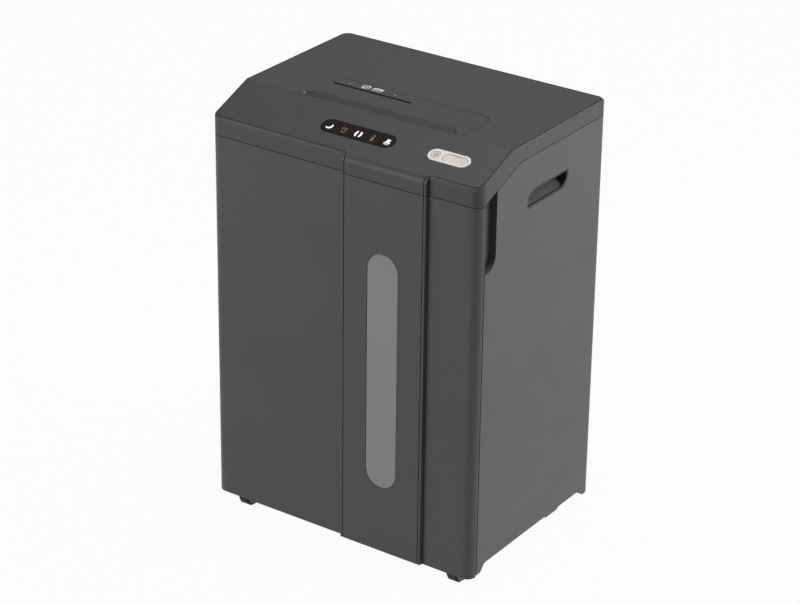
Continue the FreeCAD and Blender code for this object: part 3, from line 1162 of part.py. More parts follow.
def gear_shape(module, teeth, phase, centre, x_from, width, bore):
    """An involute spur gear about an axis along X. phase: angle of one tooth, degrees."""
    root, rows = tooth_points(module, teeth, value("backlash"))
    y, z = (value(text) for text in centre)

    def spot(radius, angle):
        return Vector(x_from, y + radius * math.cos(angle), z + radius * math.sin(angle))

    edges = []
    last = None
    first = None
    for k in range(teeth):
        middle = math.radians(phase) + 2 * math.pi * k / teeth
        half_root = rows[0][1]
        flank = [spot(root, middle - half_root)] + [spot(r, middle - a) for r, a in rows]
        other = [spot(r, middle + a) for r, a in reversed(rows)] + [spot(root, middle + half_root)]
        if last is not None:
            edges.append(root_arc(last, flank[0], root, spot, middle - math.pi / teeth))
        else:
            first = flank[0]
        for side in (flank, other):
            edges += [Part.makeLine(a, b) for a, b in zip(side, side[1:]) if a.distanceToPoint(b) > 1e-6]
        edges.append(Part.Arc(flank[-1], spot(rows[-1][0], middle), other[0]).toShape())
        last = other[-1]
    edges.append(root_arc(last, first, root, spot, math.radians(phase) - math.pi / teeth))
    wire = Part.Wire(Part.__sortEdges__(edges))
    solid = Part.Face(wire).extrude(Vector(width, 0, 0))
    hole = Part.makeCylinder(bore, width + 2, Vector(x_from - 1, y, z), Vector(1, 0, 0))
    return solid.cut(hole)


def root_arc(start, end, root, spot, middle):
    return Part.Arc(start, spot(root, middle), end).toShape()


def meshing_phase(phase, teeth, direction, other_teeth):
    """The phase that puts a gap of the second gear on a tooth of the first, along direction."""
    along = ((direction - phase) * teeth / 360.0) % 1.0
    return direction + 180 - (0.5 - along) * 360.0 / other_teeth


def gear_feature(label, shape):
    feature = doc.addObject("Part::Feature", label)
    feature.Shape = shape
    feature.Placement = FreeCAD.Placement()
    return finish(feature, label)


def make_gears():
    outside = value(PLATE_OUT)
    running = value("running_fit")
    front = (FRONT_SHAFT, "shaft_level")
    sync_x = -outside - value("sync_start") - value("sync_width")
    sync_teeth = GEAR_TEETH["sync"]
    sync_module = value("shaft_spacing") / sync_teeth
    journal = value("journal_radius+press_room")
    gear_feature("sync_gear_front", gear_shape(sync_module, sync_teeth, 0, front, sync_x, value("sync_width"), journal))
    gear_feature("sync_gear_rear", gear_shape(sync_module, sync_teeth, meshing_phase(0, sync_teeth, 0, sync_teeth),
                                              REAR_CENTRE, sync_x, value("sync_width"), journal))

    final_x, final_width = outside + value("final_start"), value("final_width")
    middle_x, middle_width = outside + value("middle_start"), value("middle_width")
    first_x, first_width = outside + value("first_start"), value("first_width")
    teeth = GEAR_TEETH
    final_module, middle_module, first_module = (value(f"{k}_module") for k in ("final", "middle", "first"))
    stud = value("stud_radius") + running

    gear_feature("final_gear", gear_shape(final_module, teeth["final"], 0, REAR_CENTRE, final_x, final_width, journal))

    pinion_phase = meshing_phase(0, teeth["final"], REAR_SHAFT_TO_IDLER_B, teeth["final_pinion"])
    gear_feature("idler_gear_b", compound_idler(
        IDLER_B, stud, (final_module, teeth["final_pinion"], pinion_phase, final_x, final_width),
        (middle_module, teeth["middle"], 0, middle_x, middle_width)))

    pinion_phase = meshing_phase(0, teeth["middle"], IDLER_B_TO_IDLER_A, teeth["middle_pinion"])
    gear_feature("idler_gear_a", compound_idler(
        IDLER_A, stud, (middle_module, teeth["middle_pinion"], pinion_phase, middle_x, middle_width),
        (first_module, teeth["first"], 0, first_x, first_width)))

    pinion_phase = meshing_phase(0, teeth["first"], IDLER_A_TO_MOTOR, teeth["first_pinion"])
    gear_feature("motor_pinion", gear_shape(first_module, teeth["first_pinion"], pinion_phase, MOTOR, first_x,
                                            first_width + 1, value("motor_shaft") * 0.75))


def compound_idler(centre, bore, pinion, wheel):
    """A pinion and a wheel on one hub."""
    pinion_module, pinion_teeth, pinion_phase, pinion_x, pinion_width = pinion
    wheel_module, wheel_teeth, wheel_phase, wheel_x, wheel_width = wheel
    small = gear_shape(pinion_module, pinion_teeth, pinion_phase, centre, pinion_x, pinion_width, bore)
    large = gear_shape(wheel_module, wheel_teeth, wheel_phase, centre, wheel_x, wheel_width, bore)
    y, z = (value(text) for text in centre)
    collar_x = pinion_x + pinion_width
    hub = Part.makeCylinder(bore + 2.2, wheel_x - collar_x, Vector(collar_x, y, z), Vector(1, 0, 0))
    hub = hub.cut(Part.makeCylinder(bore, wheel_x - collar_x + 2, Vector(collar_x - 1, y, z), Vector(1, 0, 0)))
    return small.fuse([hub, large]).removeSplitter()


def make_gear_supports():
    reach = "(plate_thick+cover_plate_start+3)"
    studs = [rod("idler_stud", "X", "plate_half", y, z, "stud_radius", reach) for y, z in (IDLER_A, IDLER_B)]
    finish(group("gear_studs", studs), "gear_studs")

    start = f"({PLATE_OUT}+cover_plate_start)"
    outline = [(f"{IDLER_B[0]}-36", f"{TRAY_TOP}+6"), (f"{IDLER_A[0]}+34", f"{TRAY_TOP}+6"),
               (f"{IDLER_A[0]}+34", "shaft_level+6"), (f"{IDLER_B[0]}+10", "shaft_level+30"),
               (f"{IDLER_B[0]}-36", "shaft_level+30")]
    plate = prism("gear_cover_plate", "YZ_Plane", outline, start, "2.5",
                  rounds=[("8", [outline[2], outline[3], outline[4]])])
    legs = [rod("cover_leg", "X", PLATE_OUT, y, z, "4", "cover_plate_start+1")
            for y, z in ((f"{IDLER_A[0]}+28", f"{TRAY_TOP}+11"), (f"{IDLER_B[0]}-30", f"{TRAY_TOP}+11"),
                         (f"{IDLER_B[0]}+4", "shaft_level+24"))]
    holes = [rod("cover_stud_hole", "X", f"{start}-1", y, z, "stud_radius", "5") for y, z in (IDLER_A, IDLER_B)]
    finish(cut("gear_cover", fuse("gear_cover_solid", plate, *legs), *holes), "gear_cover")


# ---------------------------------------------------------------- motor

def make_motor():
    y, z = MOTOR
    left = "(plate_half-motor_length)"
    can = rod("can", "X", left, y, z, "motor_radius", "motor_length")
    room = rod("can_room", "X", f"{left}+motor_wall+2", y, z, "motor_radius-motor_wall", "motor_length-2*motor_wall-4")
    bore = rod("can_bore", "X", f"{left}-1", y, z, "motor_shaft+running_fit", "motor_length+2")
    slots = [slab("can_slot", f"{left}+{x}", f"{left}+{x}+5", f"{y}-60", f"{y}+60", f"{z}-2.5", f"{z}+2.5")
             for x in (14, 92)]
    finish(cut("motor_housing", can, room, bore, *slots), "motor_housing")

    stator = rod("stator_out", "X", f"{left}+30", y, z, "motor_radius-motor_wall", "54")
    core = rod("stator_in", "X", f"{left}+29", y, z, "stator_inner", "56")
    finish(cut("motor_stator", stator, core), "motor_stator")

    shaft = rod("rotor_shaft", "X", f"{left}-16", y, z, "motor_shaft",
                f"motor_length+16+plate_thick+first_start-0.5")
    tip = rod("rotor_tip", "X", f"{PLATE_OUT}+first_start-2", y, z, "motor_shaft*0.75", "first_width+3")
    rotor = rod("rotor_core", "X", f"{left}+32", y, z, "rotor_radius", "50")
    finish(fuse("motor_rotor", shaft, tip, rotor), "motor_rotor")

    hub_start = f"({left}-14)"
    hub = rod("fan_hub", "X", hub_start, y, z, "9", "11")
    blades = []
    for k in range(7):
        blade = doc.addObject("Part::Box", "fan_blade")
        blade.Placement = FreeCAD.Placement(Vector(), FreeCAD.Rotation(Vector(1, 0, 0), 360 * k / 7))
        blades.append(bind(blade, x=hub_start, y=y, z=z, Length="9", Width="1.6", Height="fan_radius"))
    bore = rod("fan_bore", "X", f"{hub_start}-1", y, z, "motor_shaft", "14")
    finish(cut("motor_fan", fuse("fan_solid", hub, *blades), bore), "motor_fan")

    # a saddle under each end of the can
    outer = "motor_radius+press_room"
    saddles = []
    for x in (f"{left}+6", f"{left}+94"):
        foot = slab("saddle_block", x, f"{x}+10", f"{y}-28", f"{y}+28", TRAY_TOP, f"{z}-12")
        saddles.append(cut("saddle", foot, rod("saddle_cut", "X", f"{x}-1", y, z, outer, "12")))
    finish(group("motor_saddles", saddles), "motor_saddles")


# ---------------------------------------------------------------- electrics

def make_electrics():
    board_z = f"({TRAY_TOP}+6)"
    finish(slab("control_board", "-width/2+18", "-width/2+132", "depth/2-117", "depth/2-37", board_z, f"{board_z}+1.6"), "control_board")
    top = f"({board_z}+1.6)"
    left, near = "-width/2", "depth/2"
    parts = [rod("capacitor", "Z", f"{left}+40", f"{near}-95", top, "8", "26"),
             rod("capacitor", "Z", f"{left}+62", f"{near}-95", top, "8", "26"),
             slab("relay", f"{left}+80", f"{left}+100", f"{near}-105", f"{near}-89", top, f"{top}+16"),
             slab("transformer", f"{left}+88", f"{left}+122", f"{near}-79", f"{near}-47", top, f"{top}+28"),
             slab("heat_sink", f"{left}+32", f"{left}+72", f"{near}-53", f"{near}-47", top, f"{top}+30"),
             slab("connector", f"{left}+104", f"{left}+124", f"{near}-109", f"{near}-101", top, f"{top}+10")]
    finish(group("board_components", parts), "board_components")

    x_from, x_to = "inlet_x-inlet_width/2", "inlet_x+inlet_width/2"
    z_from, z_to = "inlet_level-inlet_height/2", "inlet_level+inlet_height/2"
    body = slab("inlet_body", x_from, x_to, f"{BACK}-inlet_depth-4", f"{BACK}-0.4", z_from, z_to)
    flange = slab("inlet_flange", f"{x_from}-4", f"{x_to}+4", f"{BACK}-wall-1.5", f"{BACK}-wall", f"{z_from}-3",
                  f"{z_to}+3")
    socket = slab("inlet_socket", f"{x_from}+2", f"{x_to}-2", f"{BACK}-inlet_depth", f"{BACK}+3", f"{z_from}+2",
                  f"{z_to}-2")
    pins = [("inlet_x", "inlet_level+2.5"), ("inlet_x-7", "inlet_level-2"), ("inlet_x+7", "inlet_level-2")]
    pin_holes = [slab("pin_hole", f"{x}-1", f"{x}+1", f"{BACK}-inlet_depth-6", f"{BACK}-inlet_depth+1", f"{z}-2",
                      f"{z}+2") for x, z in pins]
    finish(cut("power_inlet", fuse("inlet_solid", body, flange), socket, *pin_holes), "power_inlet")
    blades = [slab("inlet_pin", f"{x}-1", f"{x}+1", f"{BACK}-inlet_depth-9", f"{BACK}-4", f"{z}-2", f"{z}+2")
              for x, z in pins]
    finish(group("inlet_pins", blades), "inlet_pins")

    switches = [slab("door_switch", "138", "158", f"{DOOR_BACK}+2", f"{DOOR_BACK}+14", "tray_level-7", "tray_level"),
                slab("full_switch", "-12", "12", "drop_rear+10", "drop_rear+22", "tray_level-7", "tray_level")]
    finish(group("bin_sensors", switches), "bin_sensors")
    eyes = [slab("sensor_body", "-6", "6", f"{SLIT_FRONT}-10.5", f"{SLIT_FRONT}-2", "height-throat_depth-9",
                 "height-throat_depth-fit"),
            slab("sensor_body", "-6", "6", f"{SLIT_FRONT}+slit_gap+2", f"{SLIT_FRONT}+slit_gap+10.5",
                 "height-throat_depth-7", "height-throat_depth-fit")]
    finish(group("feed_sensors", eyes), "feed_sensors")


def write_parts():
    """Check every object, then write each sub-part to parts/NODE.step."""
    doc.recompute()
    for thing in doc.Objects:
        if "Invalid" in thing.State or "Error" in thing.State:
            raise RuntimeError(f"{thing.Label} ({thing.Name}) failed: {thing.State}")
    os.makedirs("parts", exist_ok=True)
    labels = [thing.Label for thing in finished]
    if len(set(labels)) != len(labels) or len(labels) > 60:
        raise RuntimeError("node names clash or there are more than 60")
    for thing in finished:
        shape = thing.Shape
        if shape.isNull() or not shape.isValid():
            raise RuntimeError(f"{thing.Label} has no valid shape")
        shape.exportStep(f"parts/{thing.Label}.step")
        box = shape.BoundBox
        print(f"{thing.Label:26s} solids {len(shape.Solids):3d}  x {box.XMin:7.1f} {box.XMax:7.1f}"
              f"  y {box.YMin:7.1f} {box.YMax:7.1f}  z {box.ZMin:7.1f} {box.ZMax:7.1f}")


make_cover()
make_feed_panel()
make_chutes()
make_controls()
make_side_panels()
make_handle_cups()
make_rear_panel()
make_base()
make_castors()
make_bin()
make_head_tray()
make_chassis()
make_combs()
make_cutters()
make_gears()
make_gear_supports()
make_motor()
make_electrics()
write_parts()
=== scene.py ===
"""Dress, light and stage an upright office paper shredder with a pull-out bin.

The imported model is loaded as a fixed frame.  Each operator below finishes one group of pieces: it
gives them their materials, or lays a printed or lit sign on its surface.  All lengths in the
properties are real ones, in metres.
"""
import math

import bpy
import numpy as np
from mathutils import Matrix, Vector


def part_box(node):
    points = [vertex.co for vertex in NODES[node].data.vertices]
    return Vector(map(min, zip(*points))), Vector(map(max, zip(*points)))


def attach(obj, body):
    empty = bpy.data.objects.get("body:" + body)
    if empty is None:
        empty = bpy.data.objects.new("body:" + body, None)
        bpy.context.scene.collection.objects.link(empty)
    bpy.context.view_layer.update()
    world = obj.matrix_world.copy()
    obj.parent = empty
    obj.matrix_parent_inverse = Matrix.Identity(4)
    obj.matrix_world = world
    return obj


bl_info = {
    "name": "Paper Shredder Finish",
    "version": (1, 0, 0),
    "blender": (4, 5, 0),
    "location": "3D View > Sidebar > Shredder",
    "description": "Materials, signs, light and stage for an upright paper shredder",
    "category": "Object",
}

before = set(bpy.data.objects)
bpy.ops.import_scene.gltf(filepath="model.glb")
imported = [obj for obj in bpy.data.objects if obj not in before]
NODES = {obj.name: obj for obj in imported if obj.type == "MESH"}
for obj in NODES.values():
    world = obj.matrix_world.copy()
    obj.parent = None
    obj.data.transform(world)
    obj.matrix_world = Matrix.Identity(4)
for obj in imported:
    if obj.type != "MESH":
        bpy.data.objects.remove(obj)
MM = 0.001


def linear(hex_colour):
    """An sRGB hex colour as linear red, green and blue."""
    parts = [int(hex_colour[k:k + 2], 16) / 255 for k in (1, 3, 5)]
    return tuple(c / 12.92 if c <= 0.04045 else ((c + 0.055) / 1.055) ** 2.4 for c in parts)


def colour(hex_colour, name, description):
    """A colour property whose default is the given sRGB colour."""
    return bpy.props.FloatVectorProperty(name=name, description=description, default=linear(hex_colour),
                                         subtype="COLOR", size=3, min=0.0, max=1.0)


def length(millimetres, name, description):
    """A length property whose default is given in millimetres."""
    return bpy.props.FloatProperty(name=name, description=description, default=millimetres * MM,
                                   unit="LENGTH", subtype="DISTANCE", precision=5)


# ---------------------------------------------------------------- settings

class ShredderColours(bpy.types.PropertyGroup):
    """Colours of the case, the controls and the mechanism."""

    # The cover, the bin front and the side and rear panels are one grey plastic; their three greys are painted light
    # and shade for each face, and the side panels' grey is painted lightest for the light from the right
    cover: colour("#3E3E3E", "Cover", "Moulded top cover")
    feed: colour("#3D3D3D", "Feed panel", "Panel that holds the paper groove and the card slot")
    door: colour("#474747", "Bin front", "Moulded front of the pull-out bin")
    side: colour("#4E4E4E", "Side and rear panels", "Moulded side and rear panels")
    tub: colour("#2E2F31", "Bin tub", "Inner tub that catches the clippings")
    chassis_plastic: colour("#202123", "Inner plastic", "Trays, guides, rails and combs")
    window: colour("#9C9C9D", "Bin window", "Frosted smoked window in the bin front")
    lens: colour("#150D0B", "Status window", "Glossy dark window over the status lamps")
    bezel: colour("#DCDAD9", "Button surround", "Pale pill-shaped surround")
    keys: colour("#D2CBC9", "Keys", "Round button and long key")
    sign_light: colour("#F4F4F2", "Lit sign", "Sign that is lit or printed white")
    sign_dim: colour("#8A7A74", "Unlit sign", "Sign that shows faintly through the window")
    sign_print: colour("#F2F2F0", "Printed sign", "Screen-printed signs on the feed panel")
    sign_grey: colour("#4A4847", "Key sign", "Grey signs printed on the keys")
    steel: colour("#A9ABAD", "Ground steel", "Shafts, rods, screws and forks")
    zinc: colour("#9EA2A4", "Zinc plate", "Chassis plates and motor can")
    cutter: colour("#77797B", "Cutter steel", "Hardened and oiled cutting discs")
    gear: colour("#5C5E60", "Sintered steel", "Gears")
    bronze: colour("#9A7440", "Sintered bronze", "Shaft bushes")
    board: colour("#1E5A34", "Circuit board", "Solder mask of the boards")
    rubber: colour("#2C2C2D", "Castor rubber", "Castor treads")
    fork: colour("#454545", "Castor forks", "Moulded forks with round cheeks")
    # The handle cups' dark grey is painted shade: the recesses are the side panels' own plastic, darkened for the shade
    # under their upper edge
    cup_painted_shade: colour("#2C2C2C", "Handle cups", "Darker cups clipped into the side panels")
    floor: colour("#FFFFFF", "Floor", "Plain pale floor and backdrop")


class ShredderSizes(bpy.types.PropertyGroup):
    """Sizes of the signs and of the surface patterns."""

    slope_run: length(71, "Slope run", "Front to back length of the control slope")
    slope_drop: length(28, "Slope drop", "Fall of the control slope from the flat top")
    stroke: length(0.9, "Sign stroke", "Line width of the status signs")
    sign_height: length(10.2, "Status sign height", "Height of a sign in the status window")
    sign_pitch: length(21.5, "Status sign pitch", "Distance between the signs in the status window")
    film: length(0.06, "Print height", "How far a print stands above its surface")
    sign_shift: length(1.0, "Status signs' place", "Status signs to the right of the window's middle")
    sign_drop: length(1.2, "Status signs' drop", "Status signs downhill of the window's middle line")
    disc_x: length(-60.5, "Disc sign place", "Disc sign from the middle plane")
    card_x: length(-43.0, "Card sign place", "Card sign from the middle plane")
    sign_y: length(-4.0, "Card slot signs line", "Line of the signs behind the card slot")
    disc_radius: length(5.6, "Disc sign radius", "Radius of the disc sign")
    card_width: length(13.5, "Card sign width", "Width of the card sign")
    card_height: length(8.6, "Card sign height", "Height of the card sign")
    dot_left: length(-84.3, "Left dot", "Dot near the left end of the card slot")
    dot_right: length(-15.2, "Right dot", "Dot near the right end of the card slot")
    dot_y: length(-6.0, "Dots' line", "Line of the dots behind the card slot")
    dot_radius: length(0.7, "Dot radius", "Radius of the dots")
    moulding_grain: length(1.5, "Moulding grain", "Spacing of the spark-eroded grain on the case")
    brushing: length(0.8, "Grinding lines", "Spacing of the grinding lines on bright steel")
    spangle: length(6.0, "Zinc spangle", "Size of the crystals in the zinc plating")
    track_pitch: length(2.5, "Track pitch", "Spacing of the copper tracks on the boards")
    camera_lens: length(122.8, "Lens", "Focal length of the camera on a 36 mm wide sensor")


def colours():
    return bpy.context.scene.shredder_colours


def sizes():
    return bpy.context.scene.shredder_sizes


# ---------------------------------------------------------------- materials

def add_node(tree, kind, inputs=None, **settings):
    """Add a node, set its settings, and link or set its inputs."""
    node = tree.nodes.new(kind)
    for name, setting in settings.items():
        setattr(node, name, setting)
    for socket, source in (inputs or {}).items():
        if isinstance(source, bpy.types.NodeSocket):
            tree.links.new(source, node.inputs[socket])
        else:
            node.inputs[socket].default_value = source
    return node


def new_material(name):
    """An empty material with its shader and output, and its object coordinates."""
    material = bpy.data.materials.new(name)
    material.use_nodes = True
    tree = material.node_tree
    tree.nodes.clear()
    shader = add_node(tree, "ShaderNodeBsdfPrincipled")
    add_node(tree, "ShaderNodeOutputMaterial", {"Surface": shader.outputs["BSDF"]})
    where = add_node(tree, "ShaderNodeTexCoord").outputs["Object"]
    return material, tree, shader, where


def shade(rgb, factor):
    return tuple(min(1.0, c * factor) for c in rgb) + (1.0,)


def set_range(tree, source, low, high, start=0.3, end=0.7):
    """Spread a 0 to 1 pattern over a range of numbers."""
    node = add_node(tree, "ShaderNodeMapRange", {"Value": source, "From Min": start, "From Max": end,
                                                 "To Min": low, "To Max": high})
    return node.outputs["Result"]


def set_colour(tree, source, dark, light, start=0.3, end=0.7):
    """Spread a 0 to 1 pattern between two colours."""
    ramp = add_node(tree, "ShaderNodeValToRGB", {"Fac": source})
    ramp.color_ramp.elements[0].position = start
    ramp.color_ramp.elements[0].color = dark
    ramp.color_ramp.elements[1].position = end
    ramp.color_ramp.elements[1].color = light
    return ramp.outputs["Color"]


def moulded_abs(name, rgb, roughness=0.46, grain_depth=0.05, drift=0.035):
    """ABS moulded in a spark-eroded tool.

    The eye sees a dull, even skin with a fine pebble grain, a slow drift in tone where the melt
    cooled unevenly, and slightly glossier patches where hands have rubbed it.  The real grain is
    about 0.3 mm; it is drawn coarser so that it shows.
    """
    material, tree, shader, where = new_material(name)
    grain_scale = 1.0 / sizes().moulding_grain
    grain = add_node(tree, "ShaderNodeTexNoise", {"Vector": where, "Scale": grain_scale, "Detail": 2.0,
                                                  "Roughness": 0.55}).outputs["Fac"]
    # tone drifts over about 160 mm
    cloud = add_node(tree, "ShaderNodeTexNoise", {"Vector": where, "Scale": 6.0, "Detail": 2.0}).outputs["Fac"]
    base = set_colour(tree, cloud, shade(rgb, 1 - drift), shade(rgb, 1 + drift))
    speck = set_colour(tree, grain, shade((0.93,) * 3, 1.0), shade((1.0,) * 3, 1.0), 0.32, 0.6)
    mixed = add_node(tree, "ShaderNodeMix", {0: 1.0, 6: base, 7: speck}, data_type="RGBA", blend_type="MULTIPLY")
    tree.links.new(mixed.outputs[2], shader.inputs["Base Color"])
    rubbed = add_node(tree, "ShaderNodeTexNoise", {"Vector": where, "Scale": 14.0, "Detail": 4.0}).outputs["Fac"]
    tree.links.new(set_range(tree, rubbed, roughness - 0.04, roughness + 0.05), shader.inputs["Roughness"])
    bump = add_node(tree, "ShaderNodeBump", {"Height": grain, "Strength": 0.35, "Distance": grain_depth * MM})
    tree.links.new(bump.outputs["Normal"], shader.inputs["Normal"])
    shader.inputs["IOR"].default_value = 1.5
    return material


def polished_abs(name, rgb, roughness=0.24, coat=0.25):
    """Polished ABS, as on keys: an even colour under a soft gloss, with faint finger marks."""
    material, tree, shader, where = new_material(name)
    smudge = add_node(tree, "ShaderNodeTexNoise", {"Vector": where, "Scale": 90.0, "Detail": 5.0,
                                                   "Distortion": 0.6}).outputs["Fac"]
    tree.links.new(set_colour(tree, smudge, shade(rgb, 0.965), shade(rgb, 1.01)), shader.inputs["Base Color"])
    tree.links.new(set_range(tree, smudge, roughness - 0.05, roughness + 0.08), shader.inputs["Roughness"])
    shader.inputs["Coat Weight"].default_value = coat
    shader.inputs["Coat Roughness"].default_value = 0.12
    return material


def frosted_san(name, rgb):
    """Smoked SAN, frosted on its face: light comes back evenly, a little deeper than the surface."""
    material, tree, shader, where = new_material(name)
    frost = add_node(tree, "ShaderNodeTexNoise", {"Vector": where, "Scale": 900.0, "Detail": 2.0}).outputs["Fac"]
    depth = add_node(tree, "ShaderNodeTexNoise", {"Vector": where, "Scale": 9.0, "Detail": 1.0}).outputs["Fac"]
    base = set_colour(tree, depth, shade(rgb, 0.97), shade(rgb, 1.03))
    tree.links.new(base, shader.inputs["Base Color"])
    tree.links.new(set_range(tree, frost, 0.34, 0.46), shader.inputs["Roughness"])
    bump = add_node(tree, "ShaderNodeBump", {"Height": frost, "Strength": 0.2, "Distance": 0.03 * MM})
    tree.links.new(bump.outputs["Normal"], shader.inputs["Normal"])
    shader.inputs["Transmission Weight"].default_value = 0.12
    shader.inputs["IOR"].default_value = 1.57
    return material


def smoked_acrylic(name, rgb):
    """Smoked cast acrylic: nearly black, mirror-smooth, with hair scratches that catch the light."""
    material, tree, shader, where = new_material(name)
    stretched = add_node(tree, "ShaderNodeMapping", {"Vector": where, "Scale": (60.0, 2200.0, 900.0),
                                                     "Rotation": (0.0, 0.0, 0.35)}).outputs["Vector"]
    scratch = add_node(tree, "ShaderNodeTexNoise", {"Vector": stretched, "Scale": 1.0, "Detail": 1.0}).outputs["Fac"]
    tree.links.new(set_range(tree, scratch, 0.09, 0.16, 0.55, 0.75), shader.inputs["Roughness"])
    cloud = add_node(tree, "ShaderNodeTexNoise", {"Vector": where, "Scale": 30.0}).outputs["Fac"]
    tree.links.new(set_colour(tree, cloud, shade(rgb, 0.9), shade(rgb, 1.1)), shader.inputs["Base Color"])
    shader.inputs["IOR"].default_value = 1.49
    return material


def ground_steel(name, rgb, roughness=0.28, stretch=(12.0, 1.0, 1.0)):
    """Cylindrically ground steel: fine lines run round it, so highlights spread along its length."""
    material, tree, shader, where = new_material(name)
    lines = 1.0 / sizes().brushing
    along = add_node(tree, "ShaderNodeMapping", {"Vector": where,
                                                 "Scale": tuple(s * lines / 12.0 for s in stretch)})
    streak = add_node(tree, "ShaderNodeTexNoise", {"Vector": along.outputs["Vector"], "Scale": 1.0,
                                                   "Detail": 3.0}).outputs["Fac"]
    tree.links.new(set_colour(tree, streak, shade(rgb, 0.86), shade(rgb, 1.08)), shader.inputs["Base Color"])
    tree.links.new(set_range(tree, streak, roughness - 0.06, roughness + 0.1), shader.inputs["Roughness"])
    bump = add_node(tree, "ShaderNodeBump", {"Height": streak, "Strength": 0.15, "Distance": 0.02 * MM})
    tree.links.new(bump.outputs["Normal"], shader.inputs["Normal"])
    shader.inputs["Metallic"].default_value = 1.0
    return material


def zinc_plated(name, rgb):
    """Hot-dipped zinc on sheet steel: overlapping crystals, each a slightly different grey."""
    material, tree, shader, where = new_material(name)
    crystals = add_node(tree, "ShaderNodeTexVoronoi", {"Vector": where, "Scale": 1.0 / sizes().spangle,
                                                       "Randomness": 1.0})
    tone = add_node(tree, "ShaderNodeSeparateColor", {"Color": crystals.outputs["Color"]}).outputs["Red"]
    tree.links.new(set_colour(tree, tone, shade(rgb, 0.84), shade(rgb, 1.1), 0.0, 1.0), shader.inputs["Base Color"])
    tree.links.new(set_range(tree, tone, 0.3, 0.5, 0.0, 1.0), shader.inputs["Roughness"])
    shader.inputs["Metallic"].default_value = 1.0
    return material


def oiled_cutter_steel(name, rgb):
    """Hardened tool steel under a film of oil: dark heat tint in blotches and wet highlights."""
    material, tree, shader, where = new_material(name)
    tint = add_node(tree, "ShaderNodeTexNoise", {"Vector": where, "Scale": 70.0, "Detail": 5.0}).outputs["Fac"]
    warm = (rgb[0] * 0.72, rgb[1] * 0.66, rgb[2] * 0.6, 1.0)
    tree.links.new(set_colour(tree, tint, warm, shade(rgb, 1.1)), shader.inputs["Base Color"])
    tree.links.new(set_range(tree, tint, 0.22, 0.42), shader.inputs["Roughness"])
    shader.inputs["Metallic"].default_value = 1.0
    shader.inputs["Coat Weight"].default_value = 0.3
    shader.inputs["Coat Roughness"].default_value = 0.2
    return material


def sintered_metal(name, rgb, pore_mm=0.7):
    """Pressed and sintered powder: a matt metal full of small dark pores that hold oil."""
    material, tree, shader, where = new_material(name)
    pores = add_node(tree, "ShaderNodeTexVoronoi", {"Vector": where, "Scale": 1.0 / (pore_mm * MM)})
    near = pores.outputs["Distance"]
    tree.links.new(set_colour(tree, near, shade(rgb, 0.45), shade(rgb, 1.0), 0.05, 0.3), shader.inputs["Base Color"])
    tree.links.new(set_range(tree, near, 0.62, 0.4, 0.0, 0.6), shader.inputs["Roughness"])
    bump = add_node(tree, "ShaderNodeBump", {"Height": near, "Strength": 0.3, "Distance": 0.05 * MM})
    tree.links.new(bump.outputs["Normal"], shader.inputs["Normal"])
    shader.inputs["Metallic"].default_value = 1.0
    return material


def solder_mask(name, rgb):
    """Glass-epoxy board under solder mask: copper tracks stand out as lighter green bands."""
    material, tree, shader, where = new_material(name)
    bricks = add_node(tree, "ShaderNodeTexBrick", {"Vector": where, "Scale": 0.25 / sizes().track_pitch,
                                                   "Mortar Size": 0.03, "Mortar Smooth": 0.2, "Brick Width": 1.6,
                                                   "Row Height": 0.25, "Color1": shade(rgb, 0.85),
                                                   "Color2": shade(rgb, 1.0), "Mortar": shade(rgb, 1.9)})
    tree.links.new(bricks.outputs["Color"], shader.inputs["Base Color"])
    weave = add_node(tree, "ShaderNodeTexNoise", {"Vector": where, "Scale": 400.0}).outputs["Fac"]
    tree.links.new(set_range(tree, weave, 0.25, 0.4), shader.inputs["Roughness"])
    shader.inputs["Coat Weight"].default_value = 0.2
    return material


def moulded_rubber(name, rgb):
    """Carbon-black rubber: a deep matt grey with a dusty bloom where it rolls."""
    material, tree, shader, where = new_material(name)
    bloom = add_node(tree, "ShaderNodeTexNoise", {"Vector": where, "Scale": 160.0, "Detail": 5.0}).outputs["Fac"]
    tree.links.new(set_colour(tree, bloom, shade(rgb, 0.9), shade(rgb, 1.6), 0.4, 0.8), shader.inputs["Base Color"])
    tree.links.new(set_range(tree, bloom, 0.7, 0.88), shader.inputs["Roughness"])
    bump = add_node(tree, "ShaderNodeBump", {"Height": bloom, "Strength": 0.25, "Distance": 0.08 * MM})
    tree.links.new(bump.outputs["Normal"], shader.inputs["Normal"])
    return material


def clear_epoxy(name, rgb):
    """Cast clear epoxy, as on lamps: bright, slightly cloudy and very smooth."""
    material, tree, shader, where = new_material(name)
    cloud = add_node(tree, "ShaderNodeTexNoise", {"Vector": where, "Scale": 400.0}).outputs["Fac"]
    tree.links.new(set_colour(tree, cloud, shade(rgb, 0.85), shade(rgb, 1.0)), shader.inputs["Base Color"])
    tree.links.new(set_range(tree, cloud, 0.05, 0.15), shader.inputs["Roughness"])
    shader.inputs["Transmission Weight"].default_value = 0.4
    return material


def laminated_steel(name, rgb):
    """A stack of punched sheets: dark varnish lines every 0.5 mm, drawn at 1.5 mm to show."""
    material, tree, shader, where = new_material(name)
    bands = add_node(tree, "ShaderNodeTexWave", {"Vector": where, "Scale": 1.0 / (1.5 * MM) / 6.28, "Distortion": 0.0},
                     wave_type="BANDS", bands_direction="X").outputs["Fac"]
    tree.links.new(set_colour(tree, bands, shade(rgb, 0.55), shade(rgb, 1.1), 0.2, 0.5), shader.inputs["Base Color"])
    grime = add_node(tree, "ShaderNodeTexNoise", {"Vector": where, "Scale": 90.0}).outputs["Fac"]
    tree.links.new(set_range(tree, grime, 0.4, 0.6), shader.inputs["Roughness"])
    shader.inputs["Metallic"].default_value = 1.0
    return material


